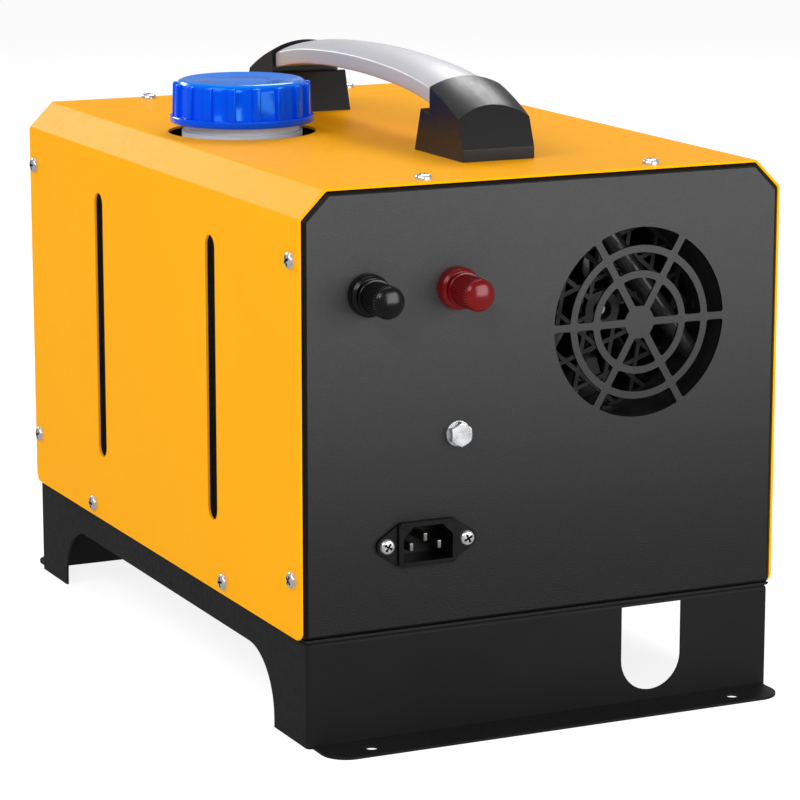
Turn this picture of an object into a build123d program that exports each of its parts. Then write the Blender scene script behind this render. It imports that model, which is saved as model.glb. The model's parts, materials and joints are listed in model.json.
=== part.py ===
"""Portable diesel air heater in one box: a folded yellow cover over a black chassis on a folded stand,
with a moulded tank and screw cap on the left, the burner unit on the right, and the terminals, mains
inlet, control panel and warm-air vent on the two end panels.

Millimetres. +Z is up and the stand rests on z = 0. X = 0 and Y = 0 are the middle of the four bolt holes
in the stand's feet. The end with the fan grille and the terminals is at -Y, warm air leaves at +Y.
"""

import os
from math import cos, pi, radians, sin, sqrt

from build123d import *

# ---------------------------------------------------------------- driving dimensions
# Clearances
flat_gap = 0.3          # between bodies that move past each other
running_gap = 0.05      # radial, shaft or pin in its hole
thread_gap = 0.05       # radial, plain stand-in for a thread
seat_gap = 0.02         # parts pushed together for good

# Case
case_width = 245.0
case_length = 356.0     # over the end panels
case_height = 204.0
sheet = 1.2             # every folded sheet of the case
corner_chamfer = 13.0
cover_bend = 2.6        # outside radius of the cover's folds
cover_corner = 5.0      # rounded free corners of the cover's sides
panel_proud = 1.2       # end panels stand this far out of the cover's ends
panel_gap = 0.5         # between an end panel's flanges and the cover
panel_bend = 2.0
panel_flange = 18.0
lip_height = 14.0       # chassis floor's folded side lips
lip_gap = 0.3
lip_end_gap = 2.0       # between a lip and an end panel's flange

# Stand
stand_height = 49.3
stand_inset = 2.5       # stand inside the case's width, each side
stand_width = case_width - 2 * stand_inset
stand_bend = 2.0
cover_gap = 0.7         # cover's lower edge above the stand's top
arch_leg = 38.0         # width of each leg seen from the side
arch_height = 33.9
arch_radius = 29.0
foot_depth = 22.0       # drilled foot flange beyond the end plate
foot_inset = 2.5        # foot inside the stand's width, each side
foot_width = stand_width - 2 * foot_inset
foot_corner = 12.0
foot_hole_r = 3.0
foot_hole_side = 23.5   # hole centre from the foot's side
foot_hole_x = foot_width / 2 - foot_hole_side
foot_hole_inset = 9.5   # hole centre from the foot's outer edge
hose_slot_x = 56.8
hose_slot_r = 16.0
hose_slot_low = 5.6     # slot's lowest point above the floor
stand_screw_side = 14.0 # screw from the stand's side
stand_screw_x = stand_width / 2 - stand_screw_side
stand_screw_y = 158.0
stand_clear_r = 4.0     # clearance for the screws of the chassis floor

# Cover openings
level_slot_width = 11.5
level_slot_length = 136.0
level_slot_mid = 101.8  # slot's middle above the cover's lower edge
level_slot_y = 74.0     # each side of the middle
filler_x = -65.0
filler_y = 23.0
filler_hole_r = 36.5

# M4 pan-head screws of the case
m4_r = 2.0
m4_head_r = 4.0
m4_head = 2.6
m4_length = 9.0
m4_hole_r = 2.2
case_screw_inset = 9.5  # from an end panel's face
case_screw_low = 27.0
case_screw_drop = 32.0  # upper side screws under the cover's top
case_screw_top_x = 58.0
lip_screw_y = 87.5
lip_screw_up = 6.7

# Carrying handle
handle_outer = 128.6    # outer end of each end block from the middle
handle_inner = 77.0     # foot of the block's inner end
block_width = 37.0
block_band = 5.6        # upright band round the foot
block_front_top = 119.5
block_front_up = 30.0
block_back = 93.0       # block's upper part ends here
cradle_up = 18.5
cradle_lip_y = 83.6
cradle_lip_up = 20.5
arch_apex = 37.2        # grip's side edge above the cover, in the middle
arch_mid_half = 54.0
arch_mid_r = 700.0
arch_end_r = 300.0
grip_width = 33.0
grip_side = 7.6
grip_crown_r = 33.5
grip_into_block = 8.0
block_top_back = 31.2   # crown's side edge at the block's back
block_top_front = 21.0  # and at its front
block_top_r = 160.0     # arc between the two
block_crown_r = 40.0
block_blank = 60.0      # block's height before its crown is cut
crown_reach = 25.0      # crown's sweep beyond the block's end
block_pocket_gap = 0.15
block_screw_1 = 98.0
block_screw_2 = 118.0

# Fuel tank
tank_side = 5.5         # tank's outer wall inside the case's width
tank_right = -22.0
tank_back = -112.0
tank_front = 150.0
tank_drop = 18.0        # tank's top under the cover's top
tank_wall = 2.5
tank_foot = 6.0
tank_foot_length = 16.0
tank_foot_y = (-70.0, 110.0)
tank_round = 12.0
tank_lug_y = (-20.0, 62.0)
tank_lug = (12.0, 22.0, 4.0)
neck_r = 28.0
neck_bore_r = 24.5
neck_collar_r = 29.8
neck_collar_up = 0.8    # collar's top above the cover
neck_up = 20.6          # neck's rim above the cover
cap_low = 4.9           # cap's rim above the cover
cap_height = 21.0
cap_top_r = 31.2
cap_body_r = 32.4
cap_rib_r = 34.0
cap_ribs = 17
cap_rib_width = 4.0
cap_flange_r = 35.5
cap_flange = 3.4
cap_skirt_r = 29.0      # inside of the skirt
cap_plate = 2.9
cap_rib_drop = 1.2      # ribs end this far under the cap's top
cap_dish_r = 14.5
cap_dish = 0.6
gasket_thick = 2.4
gasket_inner_r = 20.0
cap_pitch = 6.0         # lift for each turn
foam_gap = 0.3
level_pad_inset = 6.0   # pad's border inside the tank's wall

# Fuel line and dosing pump
barb_r = 3.0
barb_bore_r = 1.5
barb_y = 136.0
barb_z = 68.0
barb_length = 15.0
hose_wall = 1.5
hose_on_pump = 9.0      # hose pushed this far onto the pump's ends
hose_run = 18.0         # straight run after the pump
hose_turn = (8.0, 24.0, 2.0)    # second hose's knee, from its foot
hose_low = 14.0         # second hose's foot above the chassis floor
hose_on_nipple = 12.0
pump_x = 30.0
pump_front = 110.0
pump_length = 74.0
pump_r = 14.0
pump_end_r = 9.0
pump_end = 12.0
plunger_r = 4.0
plunger_length = 30.0
plunger_stroke = 3.0
plunger_seat = 27.0     # plunger's end from the pump's outlet end
spring_seat = 16.0      # spring's fixed end from the same end
spring_wire_r = 0.4
spring_turns = 5
clamp_thick = 1.5
clamp_width = 18.0
clamp_foot = 16.0

# Burner unit, on an axis along Y
unit_x = 47.9
unit_drop = 71.5        # axis under the cover's top
shell_r = 55.0
shell_wall = 2.0
shell_back_gap = 0.6    # behind the rear panel
shell_front = 96.0
shell_lip = 6.0
shell_lip_thick = 2.0
shell_lip_front = 80.0
shroud_wall_r = 46.4
shroud_front = -140.0
guard_thick = 2.5
guard_hub_r = 9.0
guard_hole_r = 5.0
guard_rib = 2.0
guard_pitch = 15.0
guard_step = 5.0        # teeth round the shroud's front
guard_step_deep = 1.2
guard_step_long = 8.0
sleeve_r = 4.8          # sleeved lead that crosses the bay before the guard
sleeve_off = 18.3       # its line from the unit's axis
sleeve_lean = -52.6     # its slope, degrees
sleeve_y = -158.0
sleeve_half = 46.5
fan_back = -139.0
fan_depth = 14.0
fan_r = 50.5
fan_nose = 4.0
fan_hub_r = 14.0
fan_blades = 7
fan_blade_thick = 1.6
fan_root_pitch = 56.0   # blade angle to the fan's plane
fan_tip_pitch = 34.0
shaft_r = 2.5
shaft_back = -140.5
shaft_front = -71.0
motor_back = -123.5
motor_r = 24.0
blower_back = -92.0
blower_front = -59.0
blower_r = 38.0
blower_wall = 3.5
impeller_r = 32.0
impeller_depth = 14.0
impeller_vanes = 16
foot_half_x = 34.0
foot_back = -100.0
blower_foot = 32.0      # height of the cast foot block
bracket_drop = 64.5     # bracket's top under the unit's axis
bracket_sheet = 2.0
bracket_half = 50.0
bracket_back = -108.0
bracket_front = -48.0
bracket_toe = 15.0
pipe_spread = 17.5      # exhaust and air pipe each side of the axis
pipe_y = -80.0
exhaust_r = 12.0
air_pipe_r = 12.5
pipe_wall = 1.5
pipe_seat = 14.0        # length inside the unit's foot
pipe_low = 33.0         # pipes' lower ends above the floor
pipe_bead_up = 15.0     # stop bead above the lower end
pipe_bead_r = 1.4
pipe_hole_gap = 3.0
bracket_hole_gap = 1.5
nipple_r = 3.0
nipple_y = -62.5
nipple_length = 14.0
stud_r = 3.0
stud_y = (-96.0, -64.0)
stud_side = 29.0
nut_m6 = 5.0
nut_m6_r = 5.8
exchanger_r = 33.0
exchanger_bore_r = 29.5
exchanger_front = 84.0
exchanger_end = 4.0
exchanger_flange = 4.5
fin_r = 51.0
fin_count = 24
fin_thick = 2.0
fin_back = -50.0
fin_front = 78.0
burner_r = 25.0
burner_wall = 1.5
burner_front = 20.0
burner_hole_r = 1.5
burner_rows = 5
burner_holes = 12
plug_y = -43.0
plug_r = 4.0
plug_hex_r = 6.5
plug_boss_r = 9.0
plug_window = 11.0
plug_boss = 3.0
plug_tip = 18.0
plug_hex = 6.0
burner_flange = 3.5
board_box = (48.0, 29.0, 19.5)   # unit's control box: across, along, high
board_box_y = -108.5

# Warm-air vent
duct_r = 36.5
duct_wall = 1.6
hood_cone_front = 150.0
hood_overlap = 12.0
hood_wall = 1.8
hood_end_gap = 0.8
vent_flange_r = 52.0
vent_flange = 3.0
vent_collar_r = 37.5
vent_collar_out = 22.0  # collar's end beyond the panel
vent_shoulder_r = 33.0
vent_shoulder = 5.7
vent_bore_r = 35.5
vent_bead = 0.5
vent_screw_r = 46.0
swivel_gap = 0.1
swivel_inner_r = 32.5
swivel_end_gap = 0.3
vane_pitch = 17.0
vane_chord = 13.0
vane_thick = 1.8
vane_pin_r = 1.2
vane_pin_depth = 2.2
vane_clear = 0.8
vane_tilt = 35.0
vane_notch = 3.6        # notch depth from the link's pin
link_x = 17.0
link_thick = 2.0
link_half = 2.0
link_arm = 5.3
link_pin_r = 0.8
link_tail = 2.5

# Terminals
post_up = 155.8
post_black_x = -90.0
post_red_x = -46.0
post_base_r = 9.7
post_base = 6.0
post_base_round = 2.5
post_spigot_r = 5.5
post_back = 5.0         # insulating washer inside the panel
post_back_r = 9.0
stud_m6_r = 3.0
stud_inside = 22.0
stud_outside = 19.5
post_nut_r = 5.8
post_nut = 5.0
insert_r = 5.0
insert_front = 20.0
knob_back = 8.0
knob_collar_r = 8.3
knob_collar = 1.4
knob_r = 7.5
knob_length = 23.6      # from the panel to the rim of the domed end
knob_dome = 2.2
knob_flutes = 36
knob_flute_r = 0.4
terminal_pitch = 1.0

# Mains inlet
inlet_x = -61.3
inlet_up = 40.5
inlet_screw_half = 20.0
inlet_ear_r = 4.7
inlet_ear = 1.8
inlet_rim_w = 29.2
inlet_rim_h = 20.4
inlet_rim_corner = 2.2
inlet_rim = 3.4
inlet_mouth_w = 24.5
inlet_mouth_h = 16.4
inlet_mouth_cut = 5.0
inlet_depth = 16.0
inlet_body_w = 27.0
inlet_body_h = 19.0
inlet_body = 19.0       # behind the panel
inlet_cutout_gap = 0.3
pin_w = 2.0
pin_h = 4.0
pin_side = 7.0
pin_offset = 2.0
pin_recess = 3.0
pin_tab = 9.0

# M3.5 screws of the fittings
m35_r = 1.75
m35_head_r = 3.5
m35_head = 2.0
m35_length = 8.0

# Earth bolt
bolt_x = -45.2
bolt_up = 89.0
bolt_flats = 10.0
bolt_head = 4.0
bolt_washer_r = 5.9
bolt_washer = 0.9
bolt_inside = 16.0
bolt_nut = 5.0

# Rear grille
grille_x = unit_x
grille_r = 44.3
grille_rings = ((7.6, 20.7), (24.1, 32.5), (35.9, 44.3))
grille_spoke = 3.5
grille_corner = 1.0

# Power supply
supply_x = (2.0, 100.0)
supply_y = (-158.0, -110.0)
supply_height = 40.0
supply_round = 2.0
lead_r = 1.5
lead_lanes = (-126.0, -133.0, -140.0)   # where the live, earth and neutral leads cross
lead_bend = 20.0        # leads' last bend beside the supply
lead_up = 28.0          # leads' ends above the chassis floor
lead_step = 6.0         # each crossing lead under the one before
post_lead_up = 33.0     # battery leads' ends above the chassis floor
post_lead_knee = 73.5   # battery leads' knees above the chassis floor
red_lead = (12.0, 17.0, 17.0, -150.0, -153.0)   # run from the stud, knee and foot beside the supply, their Y
black_lead = (19.0, 30.0, 22.0, -137.0, -147.0)

# Control panel
display_x = -60.0
display_up = 142.0
bezel_w = 100.0
bezel_h = 66.0
bezel_out = 9.0
bezel_wall = 2.5
bezel_corner = 7.0
panel_hole_w = 86.0
panel_hole_h = 52.0
panel_hole_corner = 6.0
lens_w = 66.0
lens_h = 32.0
lens_thick = 1.5
lens_up = 10.0
lens_ledge = 2.5
button_count = 4
button_pitch = 18.0
button_up = -20.0
button_r = 4.9
button_gap = 0.2
button_flange_r = 6.2
button_flange = 1.2
button_proud = 1.2
button_travel = 1.2
board_w = 80.0
board_h = 46.0
board_thick = 1.6
board_depth = 8.5       # board's face behind the bezel's face
display_block = 4.0
bezel_boss_r = 2.5
board_post_x = 36.5
board_post_z = 19.5
bezel_column_r = 5.2
bezel_sink = 4.0        # depth of the sunk screw heads
lens_gap = 0.15
bezel_screw_x = 45.0
bezel_screw_z = 28.0

# Front vents
vent_slots = 7
vent_slot_pitch = 9.0
vent_slot_width = 3.5
vent_slot_length = 44.0
vent_slot_x = 48.0
vent_slot_up = 40.0

# ---------------------------------------------------------------- places worked out from them
half_width = case_width / 2
rear_face = -case_length / 2                 # outer face of the rear panel
rear_edge = rear_face + panel_proud          # cover's rear end
cover_low = stand_height + cover_gap
cover_top = cover_low + case_height
floor_top = stand_height + sheet
front_face = -rear_face
rear_inside = rear_face + sheet
front_inside = -rear_inside
stand_floor_low = stand_height - sheet
stand_half = stand_width / 2
unit_z = cover_top - unit_drop
panel_half = half_width - sheet - panel_gap
lip_half = half_width - sheet - lip_gap
lip_end = front_face - panel_flange - lip_end_gap
shell_back = rear_inside + shell_back_gap
shell_inner_r = shell_r - shell_wall
bracket_top = unit_z - bracket_drop
tank_left = tank_side - half_width
tank_top = cover_top - tank_drop
collar_end = front_face + vent_collar_out
shoulder_end = front_face + vent_shoulder
swivel_r = vent_bore_r - swivel_gap
swivel_start = shoulder_end + swivel_end_gap
swivel_end = collar_end - 2 * vent_bead - swivel_end_gap
vane_y = (swivel_start + swivel_end) / 2
neck_rim = cover_top + neck_up
display_z = cover_low + display_up
bezel_face = front_face + bezel_out
board_face = bezel_face - board_depth
bezel_seat = bezel_face - bezel_sink
inlet_z = cover_low + inlet_up
post_z = cover_low + post_up
bolt_z = cover_low + bolt_up
hose_r = barb_r + running_gap + hose_wall
pump_back = pump_front - pump_length

parts = {}


# ---------------------------------------------------------------- shape helpers
def prism_x(sketch, x0, x1):
    """Sketch in Y and Z, filled from x0 to x1."""
    return extrude(Plane.YZ.offset(x0) * sketch, x1 - x0, dir=(1, 0, 0))


def prism_y(sketch, y0, y1):
    """Sketch in X and Z, filled from y0 to y1."""
    return extrude(Plane.XZ.offset(-y0) * sketch, y1 - y0, dir=(0, 1, 0))


def prism_z(sketch, z0, z1):
    """Sketch in X and Y, filled from z0 to z1."""
    return extrude(Plane.XY.offset(z0) * sketch, z1 - z0, dir=(0, 0, 1))


def block(x0, x1, y0, y1, z0, z1):
    """Box between two corners."""
    return Pos((x0 + x1) / 2, (y0 + y1) / 2, (z0 + z1) / 2) * Box(x1 - x0, y1 - y0, z1 - z0)


def disc(x, y, radius):
    """Round sketch at a point."""
    return Pos(x, y) * Circle(radius)


def ring(x, y, outer, inner):
    """Ring-shaped sketch at a point."""
    return Pos(x, y) * (Circle(outer) - Circle(inner))


def outline(points, *rounds):
    """Closed polygon, its corners rounded by (radius, corner numbers) pairs."""
    shape = Polygon(*points, align=None)
    for radius, numbers in rounds:
        spots = [Vector(*points[number]) for number in numbers]
        corners = [v for v in shape.vertices() if any((Vector(v.X, v.Y) - s).length < 1e-3 for s in spots)]
        shape = fillet(corners, radius)
    return shape


def spun(points, x=0.0, z=0.0):
    """Body turned about an axis along Y, from (radius, y) points."""
    face = make_face(Polyline(*[(r, y, 0) for r, y in points], close=True))
    return Pos(x, 0, z) * revolve(face, Axis.Y)


def upright(points, x=0.0, y=0.0):
    """Body turned about an axis along Z, from (radius, z) points."""
    face = make_face(Polyline(*[(r, 0, h) for r, h in points], close=True))
    return Pos(x, y, 0) * revolve(face, Axis.Z)


def hose(points, radius, bore=0.0, share=0.45):
    """Tube along straight runs joined by tangent arcs as large as the runs allow."""
    spots = [Vector(*p) for p in points]
    bends = []
    for before, corner, after in zip(spots, spots[1:], spots[2:]):
        turn = radians((corner - before).get_angle(after - corner))
        run = min((corner - before).length, (after - corner).length)
        bends.append(share * run * cos(turn / 2) / sin(turn / 2))
    path = FilletPolyline(*points, radius=bends)
    start = Plane(origin=path @ 0, z_dir=path % 0)
    section = Circle(radius)
    if bore:
        section = section - Circle(bore)
    return sweep(start * section, path=path)


def group(*shapes):
    """Separate solids kept together under one name."""
    return Compound(children=[solid for shape in shapes for solid in shape.solids()])


def mirrored(shape, plane=Plane.XZ):
    return mirror(shape, about=plane)


# ---------------------------------------------------------------- screws
def pan_screw(radius, head_r, head, length):
    """Cross-recessed pan-head screw, head upwards, its seat at z = 0."""
    top = fillet(Cylinder(head_r, head, align=(Align.CENTER, Align.CENTER, Align.MIN)).edges()
                 .sort_by(Axis.Z)[-1], head * 0.55)
    shank = Cylinder(radius, length, align=(Align.CENTER, Align.CENTER, Align.MAX))
    slot = Box(head_r * 1.1, head_r * 0.26, head, align=(Align.CENTER, Align.CENTER, Align.MIN))
    recess = slot + Rot(0, 0, 90) * slot
    return top + shank - Pos(0, 0, head * 0.45) * recess


case_screw = pan_screw(m4_r, m4_head_r, m4_head, m4_length)
fitting_screw = pan_screw(m35_r, m35_head_r, m35_head, m35_length)


def screw_at(screw, x, y, z, towards):
    """A screw whose head points along the given direction."""
    return Plane(origin=(x, y, z), z_dir=towards) * screw


# ---------------------------------------------------------------- case
def case_outline(inset):
    """Cover's section in X and Z, its low corners first, drawn in from the outside by a distance."""
    side = half_width - inset
    top = cover_top - inset
    shift = corner_chamfer - inset * (2 - sqrt(2))
    return [(-side, top - shift), (-side + shift, top), (side - shift, top), (side, top - shift)]


def case_shape(inset, low, bend):
    upper = case_outline(inset)
    side = half_width - inset
    return outline([(-side, low), *upper, (side, low)], (bend, (1, 2, 3, 4)))


side_screws = [(y, cover_low + up) for y in (-1, 1) for up in (case_screw_low, case_height - case_screw_drop)]
side_screws = [(y * (case_length / 2 - case_screw_inset), z) for y, z in side_screws]
lip_screws = [(y, cover_low + lip_screw_up) for y in (-lip_screw_y, lip_screw_y)]
top_screws = [(x, y * (case_length / 2 - case_screw_inset)) for x in (-case_screw_top_x, case_screw_top_x)
              for y in (-1, 1)]
handle_screws = [s * d for s in (-1, 1) for d in (block_screw_1, block_screw_2)]


def make_cover():
    body = prism_y(case_shape(0, cover_low, cover_bend), rear_edge, -rear_edge)
    body -= prism_y(case_shape(sheet, cover_low - 1, cover_bend - sheet), rear_edge - 1, 1 - rear_edge)
    side_view = [(rear_edge, cover_low), (rear_edge, cover_top), (-rear_edge, cover_top), (-rear_edge, cover_low)]
    body = (body & prism_x(outline(side_view, (cover_corner, (0, 3))), -half_width, half_width)).solid()
    body -= prism_z(disc(filler_x, filler_y, filler_hole_r), cover_top - 5, cover_top + 5)
    slot = Rot(0, 0, 90) * SlotOverall(level_slot_length, level_slot_width)
    for y in (-level_slot_y, level_slot_y):
        body -= prism_x(Pos(y, cover_low + level_slot_mid) * slot, -half_width - 1, -half_width + 5)
    holes = [disc(y, z, m4_hole_r) for y, z in side_screws + lip_screws]
    body -= prism_x(Sketch() + holes, -half_width - 1, half_width + 1)
    holes = [disc(x, y, m4_hole_r) for x, y in top_screws] + [disc(0, y, m4_hole_r) for y in handle_screws]
    return body - prism_z(Sketch() + holes, cover_top - 5, cover_top + 5)


def make_pan():
    """Folded end panel without its openings, its outer face at the rear."""
    def shape(inset):
        side = panel_half - inset
        lift = half_width - panel_half + inset
        upper = case_outline(lift)
        return outline([(-side, floor_top + inset), *upper, (side, floor_top + inset)],
                       (max(panel_bend - inset, 0.5), (0, 1, 2, 3, 4, 5)))
    body = prism_y(shape(0), rear_face, rear_face + panel_flange)
    body = fillet(body.edges().group_by(Axis.Y)[0], panel_bend)
    body -= prism_y(shape(sheet), rear_inside, rear_face + panel_flange + 1)
    holes = Sketch() + [disc(y, z, m4_r + thread_gap) for y, z in side_screws if y < 0]
    body -= prism_x(holes, -half_width, half_width)
    holes = Sketch() + [disc(x, y, m4_r + thread_gap) for x, y in top_screws if y < 0]
    return body - prism_z(holes, cover_top - 10, cover_top + 5)


def grille_windows():
    """Openings punched through the rear panel for the fan's air."""
    windows = Sketch()
    spokes = Sketch() + [Rot(0, 0, turn) * Rectangle(3 * grille_r, grille_spoke) for turn in (0, 60, 120)]
    for inner, outer in grille_rings:
        band = Circle(outer) - Circle(inner) - spokes
        windows += fillet(band.vertices(), grille_corner)
    return windows


def inlet_mouth(width, height, cut):
    """Mains inlet's section, its two upper corners cut off."""
    w, h = width / 2, height / 2
    return Polygon((-w, -h), (w, -h), (w, h - cut), (w - cut, h), (-w + cut, h), (-w, h - cut), align=None)


def make_rear_panel():
    body = make_pan()
    cuts = Pos(grille_x, unit_z) * grille_windows()
    cuts += [disc(x, post_z, post_spigot_r + flat_gap) for x in (post_black_x, post_red_x)]
    cuts += disc(bolt_x, bolt_z, stud_m6_r + flat_gap)
    gap = 2 * inlet_cutout_gap
    cuts += Pos(inlet_x, inlet_z) * Rectangle(inlet_body_w + gap, inlet_body_h + gap)
    cuts += [disc(inlet_x + s * inlet_screw_half, inlet_z, m35_r + thread_gap) for s in (-1, 1)]
    return body - prism_y(cuts, rear_face - 1, rear_inside + 1)


def vent_screw_spots():
    return [(unit_x + vent_screw_r * cos(radians(a)), unit_z + vent_screw_r * sin(radians(a)))
            for a in (45, 135, 225, 315)]


def bezel_screw_spots():
    return [(display_x + s * bezel_screw_x, display_z + t * bezel_screw_z) for s in (-1, 1) for t in (-1, 1)]


def make_front_panel():
    body = mirrored(make_pan())
    cuts = disc(unit_x, unit_z, duct_r + 0.5)
    cuts += Pos(display_x, display_z) * RectangleRounded(panel_hole_w, panel_hole_h, panel_hole_corner)
    cuts += [disc(x, z, m35_r + thread_gap) for x, z in vent_screw_spots() + bezel_screw_spots()]
    slot = Rot(0, 0, 90) * SlotOverall(vent_slot_length, vent_slot_width)
    first = vent_slot_x - (vent_slots - 1) / 2 * vent_slot_pitch
    cuts += [Pos(first + n * vent_slot_pitch, cover_low + vent_slot_up) * slot for n in range(vent_slots)]
    return body - prism_y(cuts, front_inside - 1, front_face + 1)


def pipe_spots():
    return ((unit_x - pipe_spread, exhaust_r), (unit_x + pipe_spread, air_pipe_r))


def floor_cuts(pilot):
    """Holes shared by the chassis floor and the stand: pipes and joining screws."""
    cuts = Sketch() + [disc(x, pipe_y, r + pipe_hole_gap) for x, r in pipe_spots()]
    spots = [(s * stand_screw_x, t * stand_screw_y) for s in (-1, 1) for t in (-1, 1)]
    return cuts + [disc(x, y, pilot) for x, y in spots]


def floor_screw_spots():
    """Screws put down into the chassis floor: tank lugs, bracket toes and pump clamp."""
    lug_x = tank_right + tank_lug[0] / 2
    toe_x = bracket_half - bracket_sheet - bracket_toe / 2
    toe_y = (bracket_back + 12, bracket_front - 12)
    spots = [(lug_x, y, tank_lug[2]) for y in tank_lug_y]
    spots += [(unit_x + s * toe_x, y, bracket_sheet) for s in (-1, 1) for y in toe_y]
    clamp_y = pump_front - pump_length / 2
    spots += [(pump_x + s * (pump_r + clamp_thick + clamp_foot / 2), clamp_y, clamp_thick) for s in (-1, 1)]
    return spots


def make_chassis_floor():
    body = block(-lip_half, lip_half, rear_face + 0.5, front_face - 0.5, stand_height, floor_top)
    for side in (-1, 1):
        lip = block(lip_half - sheet, lip_half, -lip_end, lip_end, stand_height, floor_top + lip_height)
        lip = fillet(lip.edges().filter_by(Axis.X).group_by(Axis.Z)[-1], cover_corner)
        body += lip if side > 0 else mirrored(lip, Plane.YZ)
    body = fillet(body.edges().filter_by(Axis.Y).group_by(Axis.Z)[0], panel_bend)
    body -= prism_z(floor_cuts(m4_r + thread_gap), stand_height - 1, floor_top + 1)
    holes = Sketch() + [disc(x, y, m4_r + thread_gap) for x, y, _ in floor_screw_spots()]
    body -= prism_z(holes, stand_height - 1, floor_top + 1)
    holes = Sketch() + [disc(y, z, m4_r + thread_gap) for y, z in lip_screws]
    return body - prism_x(holes, -half_width, half_width)


def foot_holes():
    hole_y = front_face + foot_depth - foot_hole_inset
    return [(s * foot_hole_x, t * hole_y) for s in (-1, 1) for t in (-1, 1)]


def make_stand():
    body = block(-stand_half, stand_half, rear_face, front_face, 0, stand_height)
    body = fillet(body.edges().filter_by(Axis.Z) + body.edges().group_by(Axis.Z)[-1], stand_bend)
    body -= block(sheet - stand_half, stand_half - sheet, rear_inside, front_inside, -1, stand_floor_low)
    arch = Rectangle(2 * (front_face - arch_leg), 2 * arch_height)
    arch = fillet(arch.vertices().group_by(Axis.Y)[-1], arch_radius)
    body -= prism_x(arch, -stand_half - 1, stand_half + 1)
    slot_mid = hose_slot_low + hose_slot_r
    slot = disc(hose_slot_x, slot_mid, hose_slot_r)
    slot_top = stand_height - stand_bend
    slot += Pos(hose_slot_x, (slot_mid + slot_top) / 2) * Rectangle(2 * hose_slot_r, slot_top - slot_mid)
    body -= prism_y(slot, rear_face - 1, rear_inside + 1)
    foot = Pos(0, rear_face - foot_depth / 2 + sheet / 2) * Rectangle(foot_width, foot_depth + sheet)
    foot = fillet(foot.vertices().group_by(Axis.Y)[0], foot_corner)
    feet = prism_z(foot, 0, sheet)
    body += [feet, mirrored(feet)]
    body -= prism_z(Sketch() + [disc(x, y, foot_hole_r) for x, y in foot_holes()], -1, sheet + 1)
    body -= prism_z(floor_cuts(m4_hole_r), stand_floor_low - 1, stand_height + 1)
    holes = Sketch() + [disc(x, y, stand_clear_r) for x, y, _ in floor_screw_spots()]
    return body - prism_z(holes, stand_floor_low - 1, stand_height + 1)


def make_case_screws():
    out = [screw_at(case_screw, s * half_width, y, z, (s, 0, 0)) for s in (-1, 1)
           for y, z in side_screws + lip_screws]
    out += [screw_at(case_screw, x, y, cover_top, (0, 0, 1)) for x, y in top_screws]
    out += [screw_at(case_screw, 0, y, cover_top - sheet, (0, 0, -1)) for y in handle_screws]
    out += [screw_at(case_screw, s * stand_screw_x, t * stand_screw_y, stand_floor_low, (0, 0, -1))
            for s in (-1, 1) for t in (-1, 1)]
    out += [screw_at(case_screw, x, y, floor_top + up, (0, 0, 1)) for x, y, up in floor_screw_spots()]
    return group(*out)


parts["yellow_cover"] = make_cover()
parts["rear_panel"] = make_rear_panel()
parts["front_panel"] = make_front_panel()
parts["chassis_floor"] = make_chassis_floor()
parts["base_stand"] = make_stand()
parts["case_screws"] = make_case_screws()


# ---------------------------------------------------------------- carrying handle
def handle_path(reach):
    """Grip's side edge seen from the side: a flat arc in the middle, a tighter one towards each end."""
    middle_drop = arch_mid_r - sqrt(arch_mid_r ** 2 - arch_mid_half ** 2)
    top = cover_top + arch_apex
    knee = top - middle_drop
    middle = ThreePointArc((0, -arch_mid_half, knee), (0, 0, top), (0, arch_mid_half, knee))
    lean = (middle % 1).Y, (middle % 1).Z
    centre_y = arch_mid_half - arch_end_r * (-lean[1])
    centre_z = knee - arch_end_r * lean[0]

    def end_point(y):
        return (0, y, centre_z + sqrt(arch_end_r ** 2 - (y - centre_y) ** 2))
    halfway = end_point((arch_mid_half + reach) / 2)
    last = end_point(reach)
    far = ThreePointArc((0, arch_mid_half, knee), halfway, last)
    near = ThreePointArc((0, -last[1], last[2]), (0, -halfway[1], halfway[2]), (0, -arch_mid_half, knee))
    return Wire([near.edge(), middle.edge(), far.edge()])


def block_path():
    """Side edge of a block's crown seen from the side: one arc that falls towards its front."""
    back, front = -block_back, -block_front_top
    run, fall = back - front, block_top_back - block_top_front
    chord = sqrt(run ** 2 + fall ** 2)
    reach = sqrt(block_top_r ** 2 - chord ** 2 / 4)
    centre_y = (back + front) / 2 + reach * fall / chord
    centre_z = cover_top + (block_top_back + block_top_front) / 2 - reach * run / chord

    def spot(y):
        return (0, y, centre_z + sqrt(block_top_r ** 2 - (y - centre_y) ** 2))
    arc = ThreePointArc(spot(-handle_outer - crown_reach), spot(front), spot(back + crown_reach))
    return Wire([arc.edge()])


def crown_section(width, side, lift, crown_r):
    """Flat-sided section with a crowned top, its side edges at height 0."""
    half = width / 2
    rise = crown_r - sqrt(crown_r ** 2 - half ** 2)
    edges = [Line((-half, lift), (-half, -side)), Line((-half, -side), (half, -side)),
             Line((half, -side), (half, lift)),
             ThreePointArc((half, lift), (0, lift + rise), (-half, lift))]
    return make_face(edges)


def swept_handle(section, path):
    start = Plane(origin=path @ 0, x_dir=(-1, 0, 0), z_dir=path % 0)
    return sweep(start * section, path=path)


def make_grip():
    section = crown_section(grip_width, grip_side, 0, grip_crown_r)
    return swept_handle(section, handle_path(block_back + grip_into_block))


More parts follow.
